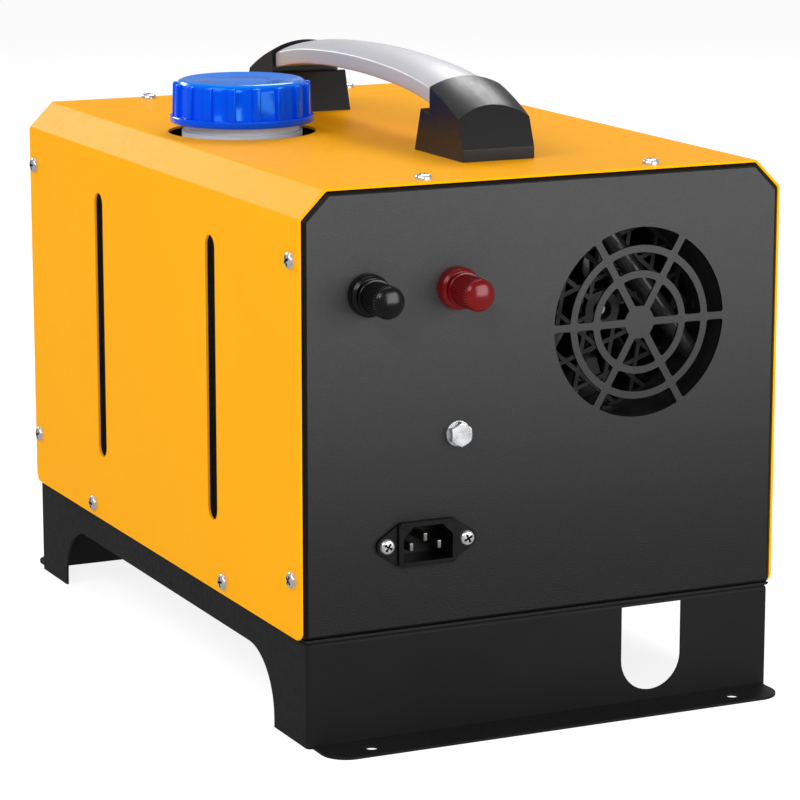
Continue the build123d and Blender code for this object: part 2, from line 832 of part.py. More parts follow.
def make_handle_end():
    side = [(-handle_outer, 0), (-handle_outer, block_band), (-block_front_top, block_front_up),
            (-block_front_top, block_blank), (-block_back, block_blank), (-block_back, cradle_up),
            (-cradle_lip_y, cradle_lip_up), (-handle_inner, 0)]
    profile = outline([(y, cover_top + up) for y, up in side], (1.0, (1, 6)))
    body = prism_x(profile, -block_width / 2, block_width / 2)
    crown = swept_handle(crown_section(block_width, block_blank, 0, block_crown_r), block_path())
    body = (body & crown).solid()
    gap = block_pocket_gap
    pocket = swept_handle(crown_section(grip_width + 2 * gap, grip_side + gap, gap, grip_crown_r + gap),
                          handle_path(block_back + grip_into_block + gap))
    body -= pocket
    holes = Sketch() + [disc(0, -d, m4_r + thread_gap) for d in (block_screw_1, block_screw_2)]
    return body - prism_z(holes, cover_top - 1, cover_top + m4_length)


parts["handle_grip"] = make_grip()
handle_end = make_handle_end()
parts["handle_ends"] = group(handle_end, mirrored(handle_end))


# ---------------------------------------------------------------- fuel tank and cap
def make_tank():
    low = floor_top + tank_foot
    body = block(tank_left, tank_right, tank_back, tank_front, low, tank_top)
    body = fillet(body.edges(), tank_round)
    body += [block(tank_left + tank_round, tank_right - tank_round, y - tank_foot_length / 2,
                   y + tank_foot_length / 2, floor_top, low + 1) for y in tank_foot_y]
    lug_w, lug_l, lug_h = tank_lug
    lug = Rectangle(lug_w + 1, lug_l) + Rectangle(0.1, 0.1)
    for y in tank_lug_y:
        x = tank_right + (lug_w - 1) / 2
        body += prism_z(Pos(x, y) * lug, floor_top, floor_top + lug_h)
        body += block(tank_right - tank_round, tank_right, y - lug_l / 2, y + lug_l / 2, floor_top,
                      low + tank_round)
        body -= prism_z(disc(tank_right + lug_w / 2, y, m4_hole_r), floor_top - 1, floor_top + lug_h + 1)
    body += upright([(0, tank_top - 1), (neck_collar_r, tank_top - 1), (neck_collar_r, cover_top + neck_collar_up),
                     (neck_r, cover_top + neck_collar_up), (neck_r, neck_rim), (0, neck_rim)],
                    filler_x, filler_y)
    inside = block(tank_left + tank_wall, tank_right - tank_wall, tank_back + tank_wall,
                   tank_front - tank_wall, low + tank_wall, tank_top - tank_wall)
    inside = fillet(inside.edges(), tank_round - tank_wall)
    body -= inside
    body -= prism_z(disc(filler_x, filler_y, neck_bore_r), tank_top - 2 * tank_wall, neck_rim + 1)
    body += prism_x(disc(barb_y, barb_z, barb_r), tank_right - 1, tank_right + barb_length)
    return body - prism_x(disc(barb_y, barb_z, barb_bore_r), tank_right - tank_wall - 1,
                          tank_right + barb_length + 1)


def make_cap():
    low = cover_top + cap_low
    top = low + cap_height
    body = upright([(0, low), (cap_flange_r, low), (cap_flange_r, low + cap_flange),
                    (cap_body_r, low + cap_flange), (cap_body_r, top - 4), (cap_top_r, top), (0, top)])
    body = fillet(body.edges().filter_by(GeomType.CIRCLE).group_by(Axis.Z)[-1], 2.4)
    rims = body.edges().filter_by(GeomType.CIRCLE)
    body = fillet([e for e in rims if abs(e.radius - cap_flange_r) < 0.01], 0.9)
    rib_top = top - cap_rib_drop - 2.4
    rib = block(cap_body_r - 3, cap_rib_r, -cap_rib_width / 2, cap_rib_width / 2, low + 1, rib_top)
    rib = fillet(rib.edges().group_by(Axis.X)[-1].filter_by(Axis.Z), 1.2)
    body += [Rot(0, 0, 360 / cap_ribs * (n + 0.3)) * rib for n in range(cap_ribs)]
    body -= prism_z(Circle(cap_skirt_r), low - 1, top - cap_plate)
    body -= prism_z(Circle(cap_dish_r), top - cap_dish, top + 1)
    return Pos(filler_x, filler_y, 0) * body


def make_gasket():
    seat = cover_top + cap_low + cap_height - cap_plate
    return prism_z(ring(filler_x, filler_y, cap_skirt_r - 0.3, gasket_inner_r), seat - gasket_thick, seat)


def make_tank_pad():
    """Foam pad between the tank's outer wall and the cover, behind the level slots."""
    inner = -half_width + sheet + foam_gap
    edge = tank_round + level_pad_inset
    body = block(inner, tank_left, tank_back + edge, tank_front - edge, floor_top + tank_foot + edge,
                 tank_top - edge)
    return fillet(body.edges().filter_by(Axis.X), 6.0)


parts["fuel_tank"] = make_tank()
parts["fuel_cap"] = make_cap()
parts["cap_gasket"] = make_gasket()
parts["tank_pad"] = make_tank_pad()


# ---------------------------------------------------------------- dosing pump and fuel hoses
def make_pump():
    y0, y1 = pump_back, pump_front
    body = spun([(0, y0), (barb_r, y0), (barb_r, y0 + 10), (pump_end_r, y0 + 10),
                 (pump_end_r, y0 + pump_end), (pump_r, y0 + pump_end), (pump_r, y1 - pump_end),
                 (pump_end_r, y1 - pump_end), (pump_end_r, y1 - 10), (barb_r, y1 - 10), (barb_r, y1),
                 (0, y1)], pump_x, barb_z)
    body = fillet([e for e in body.edges().filter_by(GeomType.CIRCLE) if abs(e.radius - pump_r) < 0.01], 1.5)
    body -= prism_y(disc(pump_x, barb_z, barb_bore_r), y0 - 1, y1 + 1)
    bore = prism_y(disc(pump_x, barb_z, plunger_r + running_gap), y0 + spring_seat,
                   y0 + plunger_seat + plunger_length + flat_gap)
    return body - bore


def make_plunger():
    start = pump_back + plunger_seat
    body = prism_y(ring(pump_x, barb_z, plunger_r, barb_bore_r / 2), start, start + plunger_length)
    return fillet([e for e in body.edges().filter_by(GeomType.CIRCLE) if abs(e.radius - plunger_r) < 0.01], 0.5)


def make_pump_clamp():
    middle = pump_front - pump_length / 2
    outer = pump_r + clamp_thick
    width = outer + clamp_foot
    shape = disc(pump_x, barb_z, outer)
    legs = Pos(pump_x, (floor_top + barb_z) / 2) * Rectangle(2 * outer, barb_z - floor_top)
    feet = Pos(pump_x, floor_top + clamp_thick / 2) * Rectangle(2 * width, clamp_thick)
    shape = shape + legs + feet
    hollow = Pos(pump_x, (floor_top + barb_z) / 2) * Rectangle(2 * pump_r, barb_z - floor_top)
    shape -= disc(pump_x, barb_z, pump_r)
    shape -= hollow
    body = prism_y(shape, middle - clamp_width / 2, middle + clamp_width / 2)
    holes = Sketch() + [disc(x, y, m4_hole_r) for x, y, up in floor_screw_spots() if up == clamp_thick]
    return body - prism_z(holes, floor_top - 1, floor_top + clamp_thick + 1)


def make_fuel_hoses():
    bore = barb_r + running_gap
    tank_end = (tank_right + 1, barb_y, barb_z)
    pump_in = (pump_x, pump_front - hose_on_pump, barb_z)
    first = hose([tank_end, (pump_x, barb_y, barb_z), pump_in], hose_r, bore)
    nipple_top = bracket_top - nipple_length
    foot = floor_top + hose_low
    across, along, up = hose_turn
    second = hose([(pump_x, pump_back + hose_on_pump, barb_z), (pump_x, pump_back - hose_run, barb_z),
                   (unit_x - across, nipple_y + along, foot + up), (unit_x, nipple_y, foot),
                   (unit_x, nipple_y, nipple_top + hose_on_nipple)], hose_r, bore)
    return group(first, second)


def make_pump_spring():
    wire = spring_wire_r
    near = pump_back + spring_seat + wire
    far = pump_back + plunger_seat - wire
    coil = Helix(pitch=(far - near) / spring_turns, height=far - near, radius=plunger_r - 2 * wire)
    start = Plane(origin=coil @ 0, z_dir=coil % 0)
    body = sweep(start * Circle(wire), path=coil, is_frenet=True)
    return Plane(origin=(pump_x, near, barb_z), z_dir=(0, 1, 0)) * body


parts["pump_body"] = make_pump()
parts["pump_plunger"] = make_plunger()
parts["pump_spring"] = make_pump_spring()
parts["pump_clamp"] = make_pump_clamp()
parts["fuel_hoses"] = make_fuel_hoses()


# ---------------------------------------------------------------- burner unit
def on_unit(sketch):
    """Sketch in X and Z moved to the burner's axis."""
    return Pos(unit_x, unit_z) * sketch


def make_casing(side):
    """Plastic half shell with side lips; side is 1 for the upper half and -1 for the lower one."""
    tube = Circle(shell_r) - Circle(shell_inner_r)
    lips = Rectangle(2 * (shell_r + shell_lip), 2 * shell_lip_thick) - Circle(shell_inner_r)
    keep = Pos(0, side * shell_r) * Rectangle(4 * shell_r, 2 * shell_r)
    body = prism_y(on_unit(tube & keep), shell_back, shell_front)
    body += prism_y(on_unit(lips & keep), shell_back, shell_lip_front)
    if side < 0:
        half = foot_half_x + 1
        body -= block(unit_x - half, unit_x + half, foot_back - 1, blower_front + 1, bracket_top,
                      unit_z - shell_r / 3)
    return body


def make_sleeve(radius, half):
    """Straight sleeve across the bay, its middle beside the unit's axis."""
    lean = radians(sleeve_lean)
    along = Vector(cos(lean), 0, sin(lean))
    middle = Vector(unit_x - sleeve_off * sin(lean), sleeve_y, unit_z + sleeve_off * cos(lean))
    start = Plane(origin=middle - along * half, z_dir=along)
    return extrude(start * Circle(radius), 2 * half)


def make_guard():
    body = spun([(shroud_wall_r, shell_back), (shell_inner_r - seat_gap, shell_back),
                 (shell_inner_r - seat_gap, shroud_front), (shroud_wall_r, shroud_front)], unit_x, unit_z)
    steps = [Rot(0, 0, n * 30) * Rectangle(2 * shell_inner_r, guard_step) for n in range(6)]
    lattice = Circle(guard_hub_r)
    for turn in (20, 80, 140):
        shift = guard_pitch / 2 if turn == 80 else 0
        lattice += [Rot(0, 0, turn) * Pos(0, n * guard_pitch + shift) * Rectangle(3 * fan_r, guard_rib)
                    for n in range(-3, 4)]
    lattice = (lattice & Circle(shroud_wall_r + 1)) - Circle(guard_hole_r)
    body += prism_y(on_unit(lattice), shroud_front - guard_thick, shroud_front)
    rim = (Circle(shroud_wall_r + 1) - Circle(shroud_wall_r - guard_step_deep)) & (Sketch() + steps)
    body += prism_y(on_unit(rim), shroud_front - guard_step_long, shroud_front)
    return body - make_sleeve(sleeve_r + seat_gap, sleeve_half + seat_gap)


def make_fan():
    nose = fan_back + fan_nose
    front = fan_back + fan_depth
    hub = spun([(shaft_r + seat_gap, fan_back), (fan_hub_r - fan_nose, fan_back), (fan_hub_r, nose),
                (fan_hub_r, front), (shaft_r + seat_gap, front)])
    middle = fan_back + fan_depth / 2

    def blade_section(radius, pitch):
        chord = (fan_depth - fan_blade_thick) / sin(radians(pitch))
        return Pos(0, middle, radius) * Rot(0, 0, pitch) * Rectangle(chord, fan_blade_thick)
    blade = loft([blade_section(fan_hub_r - 4, fan_root_pitch),
                  blade_section((fan_hub_r + fan_r) / 2, (fan_root_pitch + fan_tip_pitch) / 2),
                  blade_section(fan_r + 1, fan_tip_pitch)])
    blade = blade & prism_y(ring(0, 0, fan_r, fan_hub_r - 2), fan_back, front)
    turns = [Rot(0, 360 / fan_blades * n, 0) for n in range(fan_blades)]
    return Pos(unit_x, 0, unit_z) * (hub + [turn * blade for turn in turns])


def make_motor():
    bore = shaft_r + running_gap
    return spun([(bore, motor_back), (motor_r * 0.5, motor_back), (motor_r * 0.5, motor_back + 3),
                 (motor_r, motor_back + 3), (motor_r, blower_back), (bore, blower_back)], unit_x, unit_z)


def make_impeller():
    back = blower_front - impeller_depth - 13
    body = spun([(shaft_r + seat_gap, back), (impeller_r, back), (impeller_r, back + 2), (6, back + 2),
                 (6, back + impeller_depth), (shaft_r + seat_gap, back + impeller_depth)])
    vane = block(9, impeller_r, -0.75, 0.75, 0, impeller_depth - 2.5)
    vane = Plane(origin=(0, back + 1, 0), x_dir=(1, 0, 0), z_dir=(0, 1, 0)) * Rot(0, 0, 0) * vane
    body += [Rot(0, 360 / impeller_vanes * n, 0) * vane for n in range(impeller_vanes)]
    return Pos(unit_x, 0, unit_z) * body


def stud_spots():
    return [(unit_x + s * stud_side, y) for s in (-1, 1) for y in stud_y]


def make_blower():
    bore = blower_r - blower_wall
    body = spun([(shaft_r + 1.5, blower_back), (blower_r, blower_back), (blower_r, blower_front),
                 (shaft_r + 1.5, blower_front)], unit_x, unit_z)
    low = bracket_top
    body += block(unit_x - foot_half_x, unit_x + foot_half_x, foot_back, blower_front, low, low + blower_foot)
    body -= prism_y(on_unit(Circle(bore)), blower_back + blower_wall, blower_front + 1)
    for x, radius in pipe_spots():
        body -= prism_z(disc(x, pipe_y, radius + seat_gap), low - 1, low + pipe_seat)
    air_x = pipe_spots()[1][0]
    body -= prism_z(disc(air_x, pipe_y, air_pipe_r - pipe_wall - 2), low, unit_z - bore + 8)
    body -= prism_z(disc(pipe_spots()[0][0], pipe_y, exhaust_r - pipe_wall), low, low + pipe_seat + 10)
    body += prism_z(disc(unit_x, nipple_y, nipple_r), low - nipple_length, low + 1)
    body -= prism_z(disc(unit_x, nipple_y, barb_bore_r), low - nipple_length - 1, unit_z - bore + 1)
    reach = bracket_sheet + nut_m6 + 2
    return body + prism_z(Sketch() + [disc(x, y, stud_r) for x, y in stud_spots()], low - reach, low + 1)


def make_nuts():
    nut = RegularPolygon(nut_m6_r, 6) - Circle(stud_r + thread_gap)
    top = bracket_top - bracket_sheet
    return group(*[prism_z(Pos(x, y) * nut, top - nut_m6, top) for x, y in stud_spots()])


def make_bracket():
    side = unit_x - bracket_half
    far = unit_x + bracket_half
    top, low = bracket_top, floor_top
    toe = bracket_sheet + bracket_toe
    shape = Polygon((side, low), (side + toe, low), (side + toe, low + bracket_sheet),
                    (side + bracket_sheet, low + bracket_sheet), (side + bracket_sheet, top - bracket_sheet),
                    (far - bracket_sheet, top - bracket_sheet), (far - bracket_sheet, low + bracket_sheet),
                    (far - toe, low + bracket_sheet), (far - toe, low), (far, low), (far, top), (side, top),
                    align=None)
    body = prism_y(shape, bracket_back, bracket_front)
    holes = Sketch() + [disc(x, pipe_y, radius + bracket_hole_gap) for x, radius in pipe_spots()]
    holes += [disc(unit_x, nipple_y, nipple_r + bracket_hole_gap)]
    holes += [disc(x, y, stud_r + flat_gap) for x, y in stud_spots()]
    body -= prism_z(holes, top - bracket_sheet - 1, top + 1)
    toes = Sketch() + [disc(x, y, m4_hole_r) for x, y, up in floor_screw_spots() if up == bracket_sheet]
    return body - prism_z(toes, low - 1, low + bracket_sheet + 1)


def make_pipe(x, radius):
    top = bracket_top + pipe_seat
    bead = pipe_low + pipe_bead_up
    inner = radius - pipe_wall
    return upright([(inner, pipe_low), (radius, pipe_low), (radius, bead), (radius + pipe_bead_r, bead + 1),
                    (radius + pipe_bead_r, bead + 2), (radius, bead + 3), (radius, top), (inner, top)],
                   x, pipe_y)


def make_exchanger():
    back = blower_front
    end = exchanger_front
    body = spun([(exchanger_bore_r, back), (blower_r, back), (blower_r, back + exchanger_flange),
                 (exchanger_r, back + exchanger_flange), (exchanger_r, end), (0, end),
                 (0, end - exchanger_end), (exchanger_bore_r, end - exchanger_end)], unit_x, unit_z)
    fin = block(exchanger_r - 1, fin_r, fin_back, fin_front, -fin_thick / 2, fin_thick / 2)
    fins = [Pos(unit_x, 0, unit_z) * Rot(0, 360 / fin_count * (n + 0.5), 0) * fin for n in range(fin_count)]
    seat = unit_z + exchanger_r + plug_boss
    body += fins
    body -= prism_z(disc(unit_x, plug_y, plug_window), seat, unit_z + shell_inner_r)
    body += prism_z(disc(unit_x, plug_y, plug_boss_r), unit_z + exchanger_bore_r + 0.5, seat)
    return body - prism_z(disc(unit_x, plug_y, plug_r + running_gap), unit_z, seat + 1)


def make_glow_plug():
    seat = unit_z + exchanger_r + plug_boss
    body = prism_z(disc(unit_x, plug_y, plug_r), unit_z + plug_tip, seat)
    body += prism_z(Pos(unit_x, plug_y) * RegularPolygon(plug_hex_r, 6), seat, seat + plug_hex)
    return body + prism_z(disc(unit_x, plug_y, plug_r * 0.6), seat, seat + plug_hex + 7)


def make_burner_tube():
    inner = burner_r - burner_wall
    flange_r = blower_r - blower_wall - flat_gap
    back = blower_front - burner_flange
    body = spun([(inner, back), (flange_r, back), (flange_r, blower_front), (burner_r, blower_front),
                 (burner_r, burner_front), (inner, burner_front)], unit_x, unit_z)
    body -= prism_z(disc(unit_x, plug_y, plug_r + 1), unit_z, unit_z + burner_r + 1)
    drill = Cylinder(burner_hole_r, 2 * burner_r + 2)
    first = plug_y + 14
    step = (burner_front - 8 - first) / (burner_rows - 1)
    for row in range(burner_rows):
        shift = row % 2 / 2
        turns = [180 / burner_holes * 2 * (n + shift) for n in range(burner_holes // 2)]
        body -= [Pos(unit_x, first + row * step, unit_z) * Rot(0, turn, 0) * drill for turn in turns]
    return body


def make_unit_control():
    across, along, high = board_box
    low = unit_z + motor_r + flat_gap
    body = block(unit_x - across / 2, unit_x + across / 2, board_box_y - along / 2, board_box_y + along / 2,
                 low, low + high)
    return fillet(body.edges().group_by(Axis.Z)[-1], 2)


def make_hood():
    outer = shell_r + seat_gap + hood_wall
    inner = shell_r + seat_gap
    back = shell_front - hood_overlap
    small = duct_r - duct_wall
    end = front_face - hood_end_gap
    return spun([(inner, back), (outer, back), (outer, shell_front + 3), (duct_r, hood_cone_front),
                 (duct_r, end), (small, end), (small, hood_cone_front - 0.5),
                 (inner, shell_front + 2.5)], unit_x, unit_z)


parts["casing_lower"] = make_casing(-1)
parts["casing_upper"] = make_casing(1)
parts["star_guard"] = make_guard()
parts["cooling_fan"] = make_fan()
parts["fan_motor"] = make_motor()
parts["motor_shaft"] = prism_y(disc(unit_x, unit_z, shaft_r), shaft_back, shaft_front)
parts["air_impeller"] = make_impeller()
parts["blower_housing"] = make_blower()
parts["unit_nuts"] = make_nuts()
parts["unit_bracket"] = make_bracket()
parts["exhaust_pipe"] = make_pipe(*pipe_spots()[0])
parts["intake_pipe"] = make_pipe(*pipe_spots()[1])
parts["heat_exchanger"] = make_exchanger()
parts["glow_plug"] = make_glow_plug()
parts["burner_tube"] = make_burner_tube()
parts["unit_control"] = make_unit_control()
parts["outlet_hood"] = make_hood()


# ---------------------------------------------------------------- warm-air vent
def make_vent_ring():
    bead_r = vent_bore_r - vent_bead
    body = spun([(vent_shoulder_r, front_face), (vent_flange_r, front_face),
                 (vent_flange_r, front_face + vent_flange), (vent_collar_r, front_face + vent_flange),
                 (vent_collar_r, collar_end), (bead_r, collar_end), (bead_r, collar_end - 2 * vent_bead),
                 (vent_bore_r, collar_end - 2 * vent_bead), (vent_bore_r, shoulder_end),
                 (vent_shoulder_r, shoulder_end)], unit_x, unit_z)
    rims = body.edges().filter_by(GeomType.CIRCLE)
    body = fillet([e for e in rims if abs(e.radius - vent_flange_r) < 0.01], 1.0)
    holes = Sketch() + [disc(x, z, m35_r + 2 * thread_gap) for x, z in vent_screw_spots()]
    return body - prism_y(holes, front_face - 1, front_face + vent_flange + 1)


vane_spots = {"vane_upper": vane_pitch, "vane_middle": 0.0, "vane_lower": -vane_pitch}


def make_swivel():
    body = prism_y(on_unit(Circle(swivel_r) - Circle(swivel_inner_r)), swivel_start, swivel_end)
    holes = Sketch() + [Pos(vane_y, unit_z + up) * Circle(vane_pin_r + running_gap)
                        for up in vane_spots.values()]
    return body - prism_x(holes, unit_x - vent_collar_r, unit_x + vent_collar_r)


def make_vane(up):
    """Flat louvre across the vent with two pivot pins, and a small cross pin for the link."""
    tilt = radians(vane_tilt)
    reach = abs(up) + vane_chord / 2 * sin(tilt) + vane_thick / 2
    half = sqrt((swivel_inner_r - vane_clear) ** 2 - reach ** 2)
    pin_half = sqrt(swivel_inner_r ** 2 - up ** 2) + vane_pin_depth
    half_chord = vane_chord / 2
    blade = block(-half, half, -half_chord, half_chord, -vane_thick / 2, vane_thick / 2)
    blade = fillet(blade.edges().filter_by(Axis.X), vane_thick * 0.4)
    notch = link_thick / 2 + flat_gap
    blade -= block(link_x - notch, link_x + notch, -half_chord - 1, vane_notch - link_arm, -3, 3)
    blade += prism_x(Circle(vane_pin_r), -pin_half, -half + 2)
    blade += prism_x(Circle(vane_pin_r), half - 2, pin_half)
    blade += prism_x(Pos(-link_arm, 0) * Circle(link_pin_r), link_x - notch - 1, link_x + notch + 1)
    return Pos(unit_x, vane_y, unit_z + up) * blade


def make_link():
    half = vane_pitch + link_tail
    shape = Rectangle(2 * link_half, 2 * half)
    shape = fillet(shape.vertices(), link_half * 0.6)
    shape -= Sketch() + [Pos(0, up) * Circle(link_pin_r + running_gap) for up in vane_spots.values()]
    x = unit_x + link_x
    return prism_x(Pos(vane_y - link_arm, unit_z) * shape, x - link_thick / 2, x + link_thick / 2)


parts["outlet_ring"] = make_vent_ring()
parts["swivel_ring"] = make_swivel()
for vane_name, vane_up in vane_spots.items():
    parts[vane_name] = make_vane(vane_up)
parts["vane_link"] = make_link()


# ---------------------------------------------------------------- terminals
def make_post_base(x):
    bore = stud_m6_r + thread_gap
    body = spun([(bore, rear_face - post_base), (post_base_r, rear_face - post_base), (post_base_r, rear_face),
                 (post_spigot_r, rear_face), (post_spigot_r, rear_inside), (bore, rear_inside)], x, post_z)
    body = fillet([e for e in body.edges().filter_by(GeomType.CIRCLE).group_by(Axis.Y)[0]
                   if abs(e.radius - post_base_r) < 0.01], post_base_round)
    inner = spun([(bore, rear_inside), (post_back_r, rear_inside), (post_back_r, rear_inside + post_back),
                  (bore, rear_inside + post_back)], x, post_z)
    return group(body, inner)


def make_knob(x):
    bore = insert_r + thread_gap
    inside = rear_face - insert_front - flat_gap
    rim = rear_face - knob_length
    body = spun([(bore, rear_face - knob_back), (knob_collar_r, rear_face - knob_back),
                 (knob_collar_r, rear_face - knob_back - knob_collar),
                 (knob_r, rear_face - knob_back - knob_collar), (knob_r, rim + 1), (knob_r - 1, rim),
                 (0, rim), (0, inside), (bore, inside)], x, post_z)
    cap = make_face([ThreePointArc((0, -knob_dome), ((knob_r - 1) * 0.55, -knob_dome * 0.72), (knob_r - 1, 0)),
                     Line((knob_r - 1, 0), (0, 0)), Line((0, 0), (0, -knob_dome))])
    body += Pos(x, rim, post_z) * revolve(cap, Axis.Y)
    flute_back = rear_face - knob_back - knob_collar - 0.4
    spots = [360 / knob_flutes * n for n in range(knob_flutes)]
    flutes = Sketch() + [Pos(x + knob_r * cos(radians(a)), post_z + knob_r * sin(radians(a)))
                         * Circle(knob_flute_r) for a in spots]
    return body - prism_y(flutes, rim + 1.6, flute_back)


def make_studs():
    nut = RegularPolygon(post_nut_r, 6) - Circle(stud_m6_r + thread_gap)
    back = rear_inside + post_back
    out = []
    for x in (post_black_x, post_red_x):
        out.append(prism_y(disc(x, post_z, stud_m6_r), rear_face - stud_outside, rear_inside + stud_inside))
        out.append(prism_y(Pos(x, post_z) * nut, back, back + post_nut))
    return group(*out)


post_spots = {"black": post_black_x, "red": post_red_x}
for colour, post_x in post_spots.items():
    parts[f"post_base_{colour}"] = make_post_base(post_x)
    parts[f"insert_{colour}"] = prism_y(ring(post_x, post_z, insert_r, stud_m6_r + thread_gap),
                                        rear_face - insert_front, rear_face - post_base - flat_gap)
    parts[f"knob_{colour}"] = make_knob(post_x)
parts["post_studs"] = make_studs()


# ---------------------------------------------------------------- mains inlet, earth bolt, fitting screws
def pin_spots():
    return [(-pin_side, -pin_offset), (0, pin_offset), (pin_side, -pin_offset)]


def make_inlet():
    rim = RectangleRounded(inlet_rim_w, inlet_rim_h, inlet_rim_corner)
    ears = [Pos(s * inlet_screw_half, 0) * Circle(inlet_ear_r) for s in (-1, 1)]
    plate = make_hull((ears[0] + ears[1] + rim).edges())
    plate -= Sketch() + [Pos(s * inlet_screw_half, 0) * Circle(m35_r + 2 * thread_gap) for s in (-1, 1)]
    here = Pos(inlet_x, inlet_z)
    body = prism_y(here * plate, rear_face - inlet_ear, rear_face)
    body += prism_y(here * rim, rear_face - inlet_rim, rear_face - inlet_ear)
    body += prism_y(here * Rectangle(inlet_body_w, inlet_body_h), rear_face, rear_face + inlet_body)
    mouth = inlet_mouth(inlet_mouth_w, inlet_mouth_h, inlet_mouth_cut)
    body -= prism_y(here * mouth, rear_face - inlet_rim - 1, rear_face - inlet_rim + inlet_depth)
    slots = Sketch() + [Pos(x, z) * Rectangle(pin_w + 2 * seat_gap, pin_h + 2 * seat_gap)
                        for x, z in pin_spots()]
    return body - prism_y(here * slots, rear_face, rear_face + inlet_body + 1)


def make_pins():
    start = rear_face - inlet_rim + pin_recess
    end = rear_face + inlet_body + pin_tab
    blade = Rectangle(pin_w, pin_h)
    pins = []
    for x, z in pin_spots():
        pin = prism_y(Pos(inlet_x + x, inlet_z + z) * blade, start, end)
        pins.append(fillet(pin.edges().group_by(Axis.Y)[0], 0.6))
    return group(*pins)


def make_earth_bolt():
    hexagon = Rot(0, 0, 30) * RegularPolygon(bolt_flats / sqrt(3), 6)
    spot = Pos(bolt_x, bolt_z)
    washer_front = rear_face - bolt_washer
    head = prism_y(spot * hexagon, washer_front - bolt_head, washer_front)
    crown = spun([(0, washer_front - bolt_head), (bolt_flats / 2 - 0.1, washer_front - bolt_head),
                  (bolt_flats, washer_front - bolt_head + 2.9), (bolt_flats, washer_front),
                  (0, washer_front)], bolt_x, bolt_z)
    bolt = (head & crown) + prism_y(spot * Circle(stud_m6_r), washer_front, rear_inside + bolt_inside)
    washer = prism_y(spot * (Circle(bolt_washer_r) - Circle(stud_m6_r + thread_gap)), washer_front, rear_face)
    nut = prism_y(spot * (hexagon - Circle(stud_m6_r + thread_gap)), rear_inside, rear_inside + bolt_nut)
    return group(bolt, washer, nut)


def make_fitting_screws():
    out = [screw_at(fitting_screw, inlet_x + s * inlet_screw_half, rear_face - inlet_ear, inlet_z, (0, -1, 0))
           for s in (-1, 1)]
    out += [screw_at(fitting_screw, x, front_face + vent_flange, z, (0, 1, 0)) for x, z in vent_screw_spots()]
    out += [screw_at(fitting_screw, x, bezel_seat, z, (0, 1, 0)) for x, z in bezel_screw_spots()]
    return group(*out)


parts["inlet_socket"] = make_inlet()
parts["inlet_pins"] = make_pins()
parts["earth_bolt"] = make_earth_bolt()
parts["panel_screws"] = make_fitting_screws()


# ---------------------------------------------------------------- power supply and wiring
def make_supply():
    body = block(*supply_x, *supply_y, floor_top, floor_top + supply_height)
    return fillet(body.edges().filter_by(Axis.Z) + body.edges().group_by(Axis.Z)[-1], supply_round)


def make_wiring():
    tab = rear_face + inlet_body + pin_tab
    left, earth, right = [(inlet_x + x, inlet_z + z) for x, z in pin_spots()]
    side = supply_x[0]
    up = floor_top + lead_up
    leads = []
    for (x, z), y, drop in zip((left, earth, right), lead_lanes, (0, lead_step, 0)):
        leads.append([(x, tab, z), (x, y, z), (side - lead_bend, y, up - drop), (side, y, up - drop)])
    stud = rear_inside + stud_inside
    low, high = floor_top + post_lead_up, floor_top + post_lead_knee
    for x, (run, knee, foot, knee_y, foot_y) in ((post_red_x, red_lead), (post_black_x, black_lead)):
        leads.append([(x, stud, post_z), (x, stud + run, post_z), (side - knee, knee_y, high),
                      (side - foot, foot_y, low), (side, foot_y, low)])
    return group(make_sleeve(sleeve_r, sleeve_half), *[hose(points, lead_r) for points in leads])


parts["power_supply"] = make_supply()
parts["wiring"] = make_wiring()


# ---------------------------------------------------------------- control panel
def on_display(sketch):
    return Pos(display_x, display_z) * sketch


def button_spots():
    first = -(button_count - 1) / 2 * button_pitch
    return [(first + n * button_pitch, button_up) for n in range(button_count)]


def make_bezel():
    body = prism_y(on_display(RectangleRounded(bezel_w, bezel_h, bezel_corner)), front_face, bezel_face)
    body = fillet(body.edges().group_by(Axis.Y)[-1], 1.5)
    inside = RectangleRounded(bezel_w - 2 * bezel_wall, bezel_h - 2 * bezel_wall, bezel_corner - bezel_wall)
    corners = Sketch() + [Pos(s * bezel_screw_x, t * bezel_screw_z) * Circle(bezel_column_r)
                          for s in (-1, 1) for t in (-1, 1)]
    posts = Sketch() + [Pos(s * board_post_x, t * board_post_z) * Circle(bezel_boss_r)
                        for s in (-1, 1) for t in (-1, 1)]
    back = bezel_face - bezel_wall
    body -= prism_y(on_display(inside - corners), front_face - 1, back)
    body += prism_y(on_display(posts), board_face, back + 0.5)
    recess = on_display(Pos(0, lens_up) * Rectangle(lens_w + 2 * lens_gap, lens_h + 2 * lens_gap))
    window = on_display(Pos(0, lens_up) * Rectangle(lens_w - 2 * lens_ledge, lens_h - 2 * lens_ledge))
    body -= prism_y(recess, bezel_face - lens_thick, bezel_face + 1)
    body -= prism_y(window, back - 1, bezel_face)
    holes = Sketch() + [Pos(x, z) * Circle(button_r + button_gap) for x, z in button_spots()]
    body -= prism_y(on_display(holes), back - 1, bezel_face + 1)
    screws = Sketch() + [disc(x, z, m35_r + 2 * thread_gap) for x, z in bezel_screw_spots()]
    body -= prism_y(screws, front_face - 1, bezel_face + 1)
    heads = Sketch() + [disc(x, z, m35_head_r + flat_gap) for x, z in bezel_screw_spots()]
    return body - prism_y(heads, bezel_seat, bezel_face + 1)


def make_button(x, z):
    back = bezel_face - bezel_wall
    body = spun([(0, back - button_flange), (button_flange_r, back - button_flange), (button_flange_r, back),
                 (button_r, back), (button_r, bezel_face + button_proud), (0, bezel_face + button_proud)],
                display_x + x, display_z + z)
    return fillet(body.edges().filter_by(GeomType.CIRCLE).group_by(Axis.Y)[-1], 0.6)


